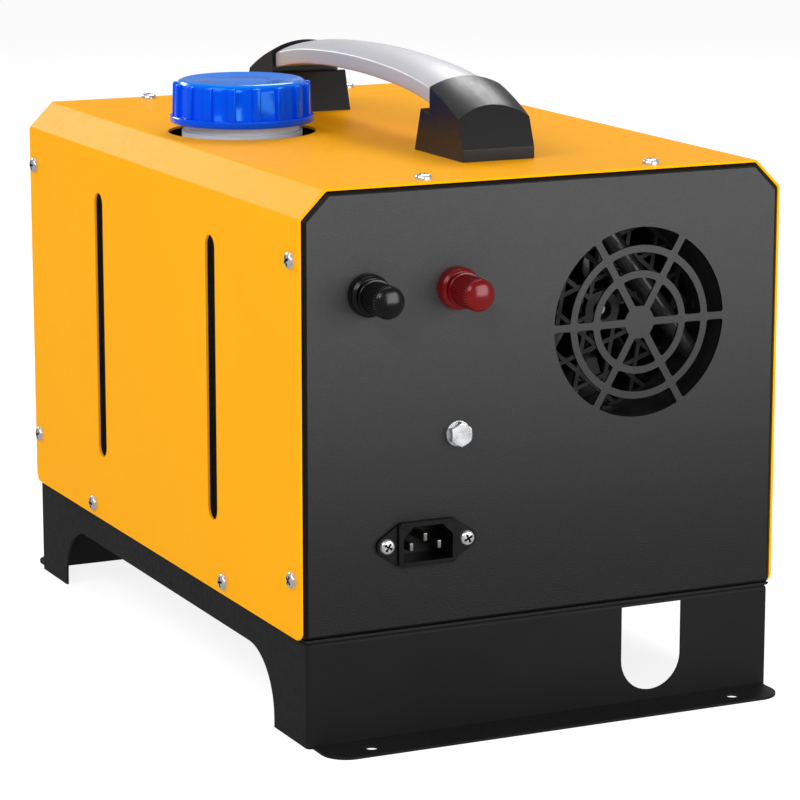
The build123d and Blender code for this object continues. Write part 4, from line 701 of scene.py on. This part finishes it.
class HEATER_OT_case(Maker, bpy.types.Operator):
    """Folded cover, end panels, chassis floor and stand"""

    bl_idname = "heater.case"
    bl_label = "Case"

    def make(self, sizes):
        softened("yellow_cover", sizes.edge)
        flat = math.cos(math.radians(10.0))
        for node in ("rear_panel", "front_panel"):
            panel = softened(node, sizes.edge * 0.7)
            # The panels' folded edges are marked to be painted dark: painted shade in the bends.
            fold_shade = panel.data.attributes.new("recess", "FLOAT", "FACE")
            for face in panel.data.polygons:
                fold_shade.data[face.index].value = float(abs(face.normal.y) < flat)
        softened("base_stand", sizes.edge)
        finish_solids("chassis_floor")


def screw_head(name, radius, height, shank, reach):
    """Pan head with a sunk cross, and its shank down through the sheet."""
    crown = [(0, height), (radius * 0.62, height * 0.96), (radius * 0.92, height * 0.7),
             (radius, height * 0.25)]
    under = [(radius, 0), (shank, 0), (shank, -reach), (0, -reach)]
    dome = rounded(crown + under, radius * 0.22, 3, keep=(0, 4, 5, 6, 7))
    head = new_piece(name, lathe(name, dome, (0, 0, 0), segments=32))
    arm, width, depth = radius * 0.64, radius * 0.17, height * 0.62
    work = bmesh.new()
    for turn in (0.0, math.pi / 2):
        made = bmesh.ops.create_cube(work, size=1.0)["verts"]
        bmesh.ops.scale(work, vec=(2 * arm, 2 * width, 2 * depth), verts=made)
        low = [v for v in made if v.co.z < 0]
        bmesh.ops.scale(work, vec=(0.45, 0.55, 1.0), verts=low)
        bmesh.ops.translate(work, vec=(0, 0, height), verts=made)
        bmesh.ops.rotate(work, cent=(0, 0, 0), matrix=Matrix.Rotation(turn, 3, "Z"), verts=made)
    cutter = new_piece(f"{name}_cutter", bpy.data.meshes.new(f"{name}_cutter"))
    work.to_mesh(cutter.data)
    work.free()
    cut = head.modifiers.new("cross", "BOOLEAN")
    cut.object = cutter
    cut.operation = "DIFFERENCE"
    cut.solver = "EXACT"
    cut.use_self = True
    baked(head)
    bpy.data.objects.remove(cutter)
    crisp(head.data, 30.0)
    mesh = head.data
    # The faces of the sunk cross are marked to be painted dark: painted shade.
    mesh.attributes.new("recess", "FLOAT", "FACE")
    for face in mesh.polygons:
        near, far = sorted((abs(face.center.x), abs(face.center.y)))
        inside = near < width * 1.02 and far < arm * 1.02 and face.center.z > 0
        mesh.attributes["recess"].data[face.index].value = float(inside)
    return head


def screws_at(name, template, marks, node):
    """Screws at (place, facing) marks in millimetres, each turned by a random but fixed angle."""
    chance = random.Random(7)
    mesh = bpy.data.meshes.new(name)
    mesh.from_pydata([tuple(Vector(place) * MM) for place, _ in marks], [], [])
    mesh.attributes.new("facing", "FLOAT_VECTOR", "POINT")
    mesh.attributes.new("spin", "FLOAT", "POINT")
    for n, (_, way) in enumerate(marks):
        mesh.attributes["facing"].data[n].vector = way
        mesh.attributes["spin"].data[n].value = chance.uniform(0.0, math.pi)
    piece = grow(new_piece(name, mesh), marks_tree(), {
        "Template": template, "Material": materials()["zinc"]})
    bpy.data.objects.remove(template)
    return dress(piece, node)


class HEATER_OT_screws(Maker, bpy.types.Operator):
    """Cross-head screws of the case and of its fittings"""

    bl_idname = "heater.screws"
    bl_label = "Screws"

    def make(self, sizes):
        side, low, floor = 122.5, 50.0, 50.5
        end, side_rows, top_x = 168.5, (27.0, 172.0), 58.0
        stand_y, stand_up = 87.5, 6.7
        handle_y, cover_inside = (98.0, 118.0), COVER_TOP - 1.2
        flange_x, flange_y, flange_under = 106.0, 158.0, 48.1
        marks = []
        for s in (-1, 1):
            for y in (-end, end):
                marks += [((s * side, y, low + up), (s, 0, 0)) for up in side_rows]
                marks.append(((s * top_x, y, COVER_TOP), (0, 0, 1)))
            marks += [((s * side, y, low + stand_up), (s, 0, 0)) for y in (-stand_y, stand_y)]
            marks += [((0, s * y, cover_inside), (0, 0, -1)) for y in handle_y]
            marks += [((s * flange_x, y, flange_under), (0, 0, -1)) for y in (-flange_y, flange_y)]
        # on the chassis floor inside: each screw's x and y, and the thickness of what it holds
        tank_lugs = [(-16.0, -20.0, 4.0), (-16.0, 62.0, 4.0)]
        bracket_toes = [(7.4, -96.0, 2.0), (88.4, -96.0, 2.0), (7.4, -60.0, 2.0), (88.4, -60.0, 2.0)]
        pump_clamp = [(6.5, 73.0, 1.5), (53.5, 73.0, 1.5)]
        for x, y, thick in tank_lugs + bracket_toes + pump_clamp:
            marks.append(((x, y, floor + thick), (0, 0, 1)))
        head = screw_head("case_screw_head", sizes.screw_head, 2.6 * MM, 2.0 * MM, 8.8 * MM)
        screws_at("cross_head_screws", head, marks, "case_screws")
        four = [(s, t) for s in (-1, 1) for t in (-1, 1)]
        inlet_x, inlet_face, inlet_z, inlet_half = -61.3, -179.8, 90.5, 20.0
        vent_face, vent_half = 181.0, 46.0 * math.cos(math.pi / 4)
        bezel_x, bezel_face, bezel_z, half_x, half_z = -60.0, 183.0, 192.0, 45.0, 28.0
        marks = [((inlet_x + s * inlet_half, inlet_face, inlet_z), (0, -1, 0)) for s in (-1, 1)]
        marks += [((UNIT_X + s * vent_half, vent_face, UNIT_Z + t * vent_half), (0, 1, 0)) for s, t in four]
        marks += [((bezel_x + s * half_x, bezel_face, bezel_z + t * half_z), (0, 1, 0)) for s, t in four]
        head = screw_head("fitting_screw_head", sizes.fitting_head, 2.0 * MM, 1.75 * MM, 7.8 * MM)
        screws_at("fitting_screws", head, marks, "panel_screws")


def grip_edge(along):
    """Height of the grip's side edge over the cover, and its slope, at a distance from the middle."""
    far = abs(along)
    middle_r, end_r, knee, top = 700 * MM, 300 * MM, 54 * MM, 37.2 * MM
    if far <= knee:
        return top - (middle_r - math.sqrt(middle_r ** 2 - along ** 2)), -along / math.sqrt(
            middle_r ** 2 - along ** 2)
    lean = knee / middle_r
    drop = middle_r - math.sqrt(middle_r ** 2 - knee ** 2)
    centre = knee - end_r * lean
    rise = math.sqrt(end_r ** 2 - (far - centre) ** 2)
    height = top - drop - end_r * math.sqrt(1 - lean ** 2) + rise
    return height, math.copysign((far - centre) / rise, -along)


class HEATER_OT_handle(Maker, bpy.types.Operator):
    """Carrying handle: crowned silver grip between two black blocks"""

    bl_idname = "heater.handle"
    bl_label = "Handle"

    def make(self, sizes):
        softened("handle_ends", 0.45 * MM, 3)
        half, side, crown, reach = 16.5 * MM, 7.6 * MM, 33.5 * MM, 101.0 * MM
        across, steps = 24, 72
        rise = crown - math.sqrt(crown ** 2 - half ** 2)
        arc = [half - 2 * half * n / across for n in range(across + 1)]
        section = [(-half, -side), (half, -side)]
        section += [(x, math.sqrt(crown ** 2 - x ** 2) - crown + rise) for x in arc]
        section = rounded(section, 1.6 * MM, 4, keep=tuple(range(3, across + 2)))
        points, faces = [], []
        for n in range(steps + 1):
            along = reach * (2 * n / steps - 1)
            height, slope = grip_edge(along)
            up = Vector((0, -slope, 1)).normalized()
            base = Vector((0, along, COVER_TOP * MM + height))
            points += [base + Vector((x, 0, 0)) + up * out for x, out in section]
        count = len(section)
        for n in range(steps):
            for k in range(count):
                a, b = n * count + k, n * count + (k + 1) % count
                faces.append((a, b, b + count, a + count))
        faces += [tuple(range(count)), tuple(range(steps * count, steps * count + count))]
        grip = new_piece("grip", mesh_from("grip", points, faces))
        crisp(grip.data, 30.0)
        dress(grip, "handle_grip")


class HEATER_OT_fuel_cap(Maker, bpy.types.Operator):
    """Ribbed fuel cap, its gasket and the threaded neck under it"""

    bl_idname = "heater.fuel_cap"
    bl_label = "Fuel cap"

    def make(self, sizes):
        centre = Vector((-65.0, 23.0, 0.0)) * MM
        low = 258.9 * MM
        shell = [(29.0, 0.0), (35.1, 0.0), (35.5, 0.5), (35.5, 2.9), (35.0, 3.4), (32.6, 3.5),
                 (32.4, 3.8), (32.1, 16.6), (31.7, 18.6), (31.0, 20.0), (30.0, 20.7), (28.8, 21.0),
                 (27.6, 20.85), (26.0, 20.4), (15.2, 20.35), (14.7, 20.15), (14.2, 20.3), (0.0, 20.35),
                 (0.0, 18.1), (29.0, 18.1)]
        profile = [(r * MM, low + h * MM) for r, h in shell]
        core = lathe("cap_core", profile, centre, segments=144)
        root, crest, half, foot, head = 31.0 * MM, 34.4 * MM, 1.9 * MM, low + 3.2 * MM, low + 19.3 * MM
        rib = box_of("cap_rib", (root, -half, foot), (crest, half, head), 0.7 * MM, 3)
        first = Matrix.Rotation(math.radians(6.0), 3, "Z")
        work = bmesh.new()
        work.from_mesh(rib)
        for vert in work.verts:
            if vert.co.x > 33.0 * MM and vert.co.z > low + 17.0 * MM:
                vert.co.x -= 0.45 * MM
        bmesh.ops.rotate(work, cent=(0, 0, 0), matrix=first, verts=work.verts)
        bmesh.ops.translate(work, vec=centre, verts=work.verts)
        work.to_mesh(rib)
        work.free()
        ribs = grow(new_piece("cap_ribs", rib), ring_tree(), {
            "Count": sizes.cap_ribs, "Axis": (0.0, 0.0, 1.0), "Centre": tuple(centre),
            "Material": materials()["cap_blue"]})
        cap = new_piece("ribbed_cap", join_meshes("ribbed_cap", core, ribs.data))
        bpy.data.objects.remove(ribs)
        crisp(cap.data, 40.0)
        dress(cap, "fuel_cap")
        finish_solids("cap_gasket")
        thread = grow(new_piece("neck_thread", bpy.data.meshes.new("neck_thread")), thread_tree(), {
            "Turns": sizes.thread_turns, "Radius": 28.0 * MM, "Height": 10.0 * MM, "Ridge": 0.7 * MM,
            "Centre": tuple(centre + Vector((0, 0, 262.5 * MM))), "Material": materials()["tank_grey"]})
        crisp(thread.data, 50.0)
        dress(thread, slot="tank_grey", body="case")


class HEATER_OT_tank(Maker, bpy.types.Operator):
    """Moulded tank, foam pad behind the level slots, hoses and pump"""

    bl_idname = "heater.tank"
    bl_label = "Tank and pump"

    def make(self, sizes):
        smoothed("fuel_tank", "moulded_tank")
        low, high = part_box("tank_pad")
        pad = new_piece("foam_pad", box_of("foam_pad", low, high, 1.2 * MM, 3))
        crisp(pad.data, 60.0)
        dress(pad, "tank_pad")
        finish_solids("fuel_hoses", "pump_body", "pump_plunger", "pump_clamp")
        low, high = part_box("pump_spring")
        spring = smoothed("pump_spring", "pressed_spring")
        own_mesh(spring)


class HEATER_OT_terminals(Maker, bpy.types.Operator):
    """Black and red terminals with ribbed knobs, and the earth bolt"""

    bl_idname = "heater.terminals"
    bl_label = "Terminals"

    def make(self, sizes):
        shell = [(5.05, -8.0), (7.9, -8.0), (8.3, -8.3), (8.3, -9.1), (8.05, -9.4), (7.3, -9.5),
                 (7.2, -9.9), (7.2, -23.0), (7.0, -23.7), (6.3, -24.3), (5.0, -24.9), (3.2, -25.45),
                 (1.6, -25.7), (0.0, -25.8), (0.0, -20.3), (5.05, -20.3)]
        profile = [(r * MM, (REAR_FACE + y) * MM) for r, y in shell]
        root, crest, half = 6.9 * MM, 7.5 * MM, 0.33 * MM
        outer, inner = (REAR_FACE - 23.2) * MM, (REAR_FACE - 9.8) * MM
        for tone, x in (("black", -90.0), ("red", -46.0)):
            centre = Vector((x * MM, 0.0, 205.8 * MM))
            core = lathe(f"{tone}_core", profile, centre, "Y", 72)
            rib = box_of(f"{tone}_rib", (root, outer, -half), (crest, inner, half), 0.2 * MM, 1)
            rib.transform(Matrix.Translation(centre))
            ribs = grow(new_piece(f"{tone}_ribs", rib), ring_tree(), {
                "Count": sizes.knob_ribs, "Axis": (0.0, 1.0, 0.0), "Centre": tuple(centre),
                "Material": materials()[f"knob_{tone}"]})
            knob = new_piece(f"{tone}_knob_finish", join_meshes(f"{tone}_knob_finish", core, ribs.data))
            bpy.data.objects.remove(ribs)
            crisp(knob.data, 40.0)
            dress(knob, f"knob_{tone}")
            softened(f"post_base_{tone}", 0.25 * MM)
        softened("insert_black", 0.15 * MM)
        softened("insert_red", 0.15 * MM)
        softened("post_studs", 0.2 * MM)
        softened("earth_bolt", 0.2 * MM)


class HEATER_OT_inlet(Maker, bpy.types.Operator):
    """Three-pin mains inlet"""

    bl_idname = "heater.inlet"
    bl_label = "Mains inlet"

    def make(self, sizes):
        softened("inlet_socket", 0.25 * MM)
        softened("inlet_pins", 0.2 * MM)
        finish_solids("power_supply", "wiring")


def fan_blade(name, centre):
    """Twisted, cambered blade from the hub to the tip, thinner towards its edges."""
    inner, outer, back, front = 12.5 * MM, 50.4 * MM, -139.0 * MM, -125.0 * MM
    root_pitch, twist, bow = 58.0, 25.0, 0.07
    half_thick, edge_thick, clear_of_ends = 0.8 * MM, 0.05 * MM, 1.2 * MM
    across, chordwise = 12, 12
    middle = (back + front) / 2
    points, faces = [], []
    for side in (1, -1):
        for i in range(across + 1):
            radius = inner + (outer - inner) * i / across
            pitch = math.radians(root_pitch - twist * i / across)
            chord = (front - back - clear_of_ends) / math.sin(pitch)
            for j in range(chordwise + 1):
                t = j / chordwise - 0.5
                camber = bow * chord * (1 - 4 * t * t)
                thick = half_thick * math.sqrt(max(0.0, 1 - (2 * t) ** 4)) + edge_thick
                shift = camber + side * thick
                arc = t * chord * math.cos(pitch) + shift * math.sin(pitch)
                y = middle + t * chord * math.sin(pitch) - shift * math.cos(pitch)
                y = min(max(y, back), front)
                turn = arc / radius
                points.append(centre + Vector((radius * math.sin(turn), y, radius * math.cos(turn))))
    row = chordwise + 1
    sheet = (across + 1) * row
    for i in range(across):
        for j in range(chordwise):
            a = i * row + j
            faces.append((a, a + 1, a + row + 1, a + row))
            b = a + sheet
            faces.append((b, b + row, b + row + 1, b + 1))
    rim = list(range(row)) + [i * row + chordwise for i in range(1, across + 1)]
    rim += [across * row + j for j in range(chordwise - 1, -1, -1)]
    rim += [i * row for i in range(across - 1, 0, -1)]
    for k, a in enumerate(rim):
        b = rim[(k + 1) % len(rim)]
        faces.append((a, b, b + sheet, a + sheet))
    return mesh_from(name, points, faces)


class HEATER_OT_fan(Maker, bpy.types.Operator):
    """Cooling fan, its guard and the casing seen through the grille"""

    bl_idname = "heater.fan"
    bl_label = "Fan"

    def make(self, sizes):
        centre = Vector((UNIT_X * MM, 0.0, UNIT_Z * MM))
        blade = new_piece("blade", fan_blade("blade", centre))
        blades = grow(blade, ring_tree(), {
            "Count": sizes.fan_blades, "Axis": (0.0, 1.0, 0.0), "Centre": tuple(centre),
            "Material": materials()["fan_black"]})
        hub = rounded([(2.52, -139.0), (9.5, -139.0), (13.6, -136.0), (14.0, -132.0), (14.0, -125.0),
                       (2.52, -125.0)], 1.5, 4, keep=(0, 5))
        hub = lathe("fan_hub", [(r * MM, y * MM) for r, y in hub], centre, "Y", 64)
        fan = new_piece("fan", join_meshes("fan", hub, blades.data))
        bpy.data.objects.remove(blades)
        crisp(fan.data, 40.0)
        dress(fan, "cooling_fan")
        for node in ("star_guard", "casing_lower", "casing_upper"):
            smoothed(node)


class HEATER_OT_burner(Maker, bpy.types.Operator):
    """Burner, exchanger, motor and pipes inside the case"""

    bl_idname = "heater.burner"
    bl_label = "Burner unit"

    def make(self, sizes):
        finish_solids("unit_bracket", "fan_motor", "motor_shaft", "air_impeller", "blower_housing",
                      "heat_exchanger", "burner_tube", "glow_plug", "unit_control", "outlet_hood",
                      "unit_nuts")
        for node in ("exhaust_pipe", "intake_pipe"):
            smoothed(node)


class HEATER_OT_vent(Maker, bpy.types.Operator):
    """Warm-air vent with its turning ring and linked vanes"""

    bl_idname = "heater.vent"
    bl_label = "Warm-air vent"

    def make(self, sizes):
        softened("outlet_ring", 0.4 * MM)
        softened("swivel_ring", 0.3 * MM)
        for node in ("vane_upper", "vane_middle", "vane_lower", "vane_link"):
            softened(node, 0.15 * MM)


class HEATER_OT_controls(Maker, bpy.types.Operator):
    """Control panel with its window and four buttons"""

    bl_idname = "heater.controls"
    bl_label = "Controls"

    def make(self, sizes):
        softened("bezel", 0.25 * MM)
        softened("display_lens", 0.2 * MM)
        for node in ("button_power", "button_down", "button_up", "button_set"):
            softened(node, 0.2 * MM)
        finish_solids("control_board")


MAKERS = (HEATER_OT_stage, HEATER_OT_case, HEATER_OT_screws, HEATER_OT_handle, HEATER_OT_fuel_cap,
          HEATER_OT_tank, HEATER_OT_terminals, HEATER_OT_inlet, HEATER_OT_fan, HEATER_OT_burner,
          HEATER_OT_vent, HEATER_OT_controls)


class HEATER_PT_pieces(bpy.types.Panel):
    """Sizes, colours and the steps that make the pieces"""

    bl_idname = "HEATER_PT_pieces"
    bl_label = "Heater"
    bl_space_type = "VIEW_3D"
    bl_region_type = "UI"
    bl_category = "Heater"

    def draw(self, context):
        for group in (context.scene.heater_colours, context.scene.heater_sizes):
            column = self.layout.column(align=True)
            for label in group.__annotations__:
                column.prop(group, label)
        for maker in MAKERS:
            self.layout.operator(maker.bl_idname)


CLASSES = (HeaterColours, HeaterSizes, *MAKERS, HEATER_PT_pieces)


def register():
    for kind in CLASSES:
        bpy.utils.register_class(kind)
    bpy.types.Scene.heater_colours = PointerProperty(type=HeaterColours)
    bpy.types.Scene.heater_sizes = PointerProperty(type=HeaterSizes)


def unregister():
    del bpy.types.Scene.heater_colours
    del bpy.types.Scene.heater_sizes
    for kind in reversed(CLASSES):
        bpy.utils.unregister_class(kind)


def main():
    register()
    for maker in MAKERS:
        group, name = maker.bl_idname.split(".")
        getattr(getattr(bpy.ops, group), name)()


if __name__ == "__main__":
    main()
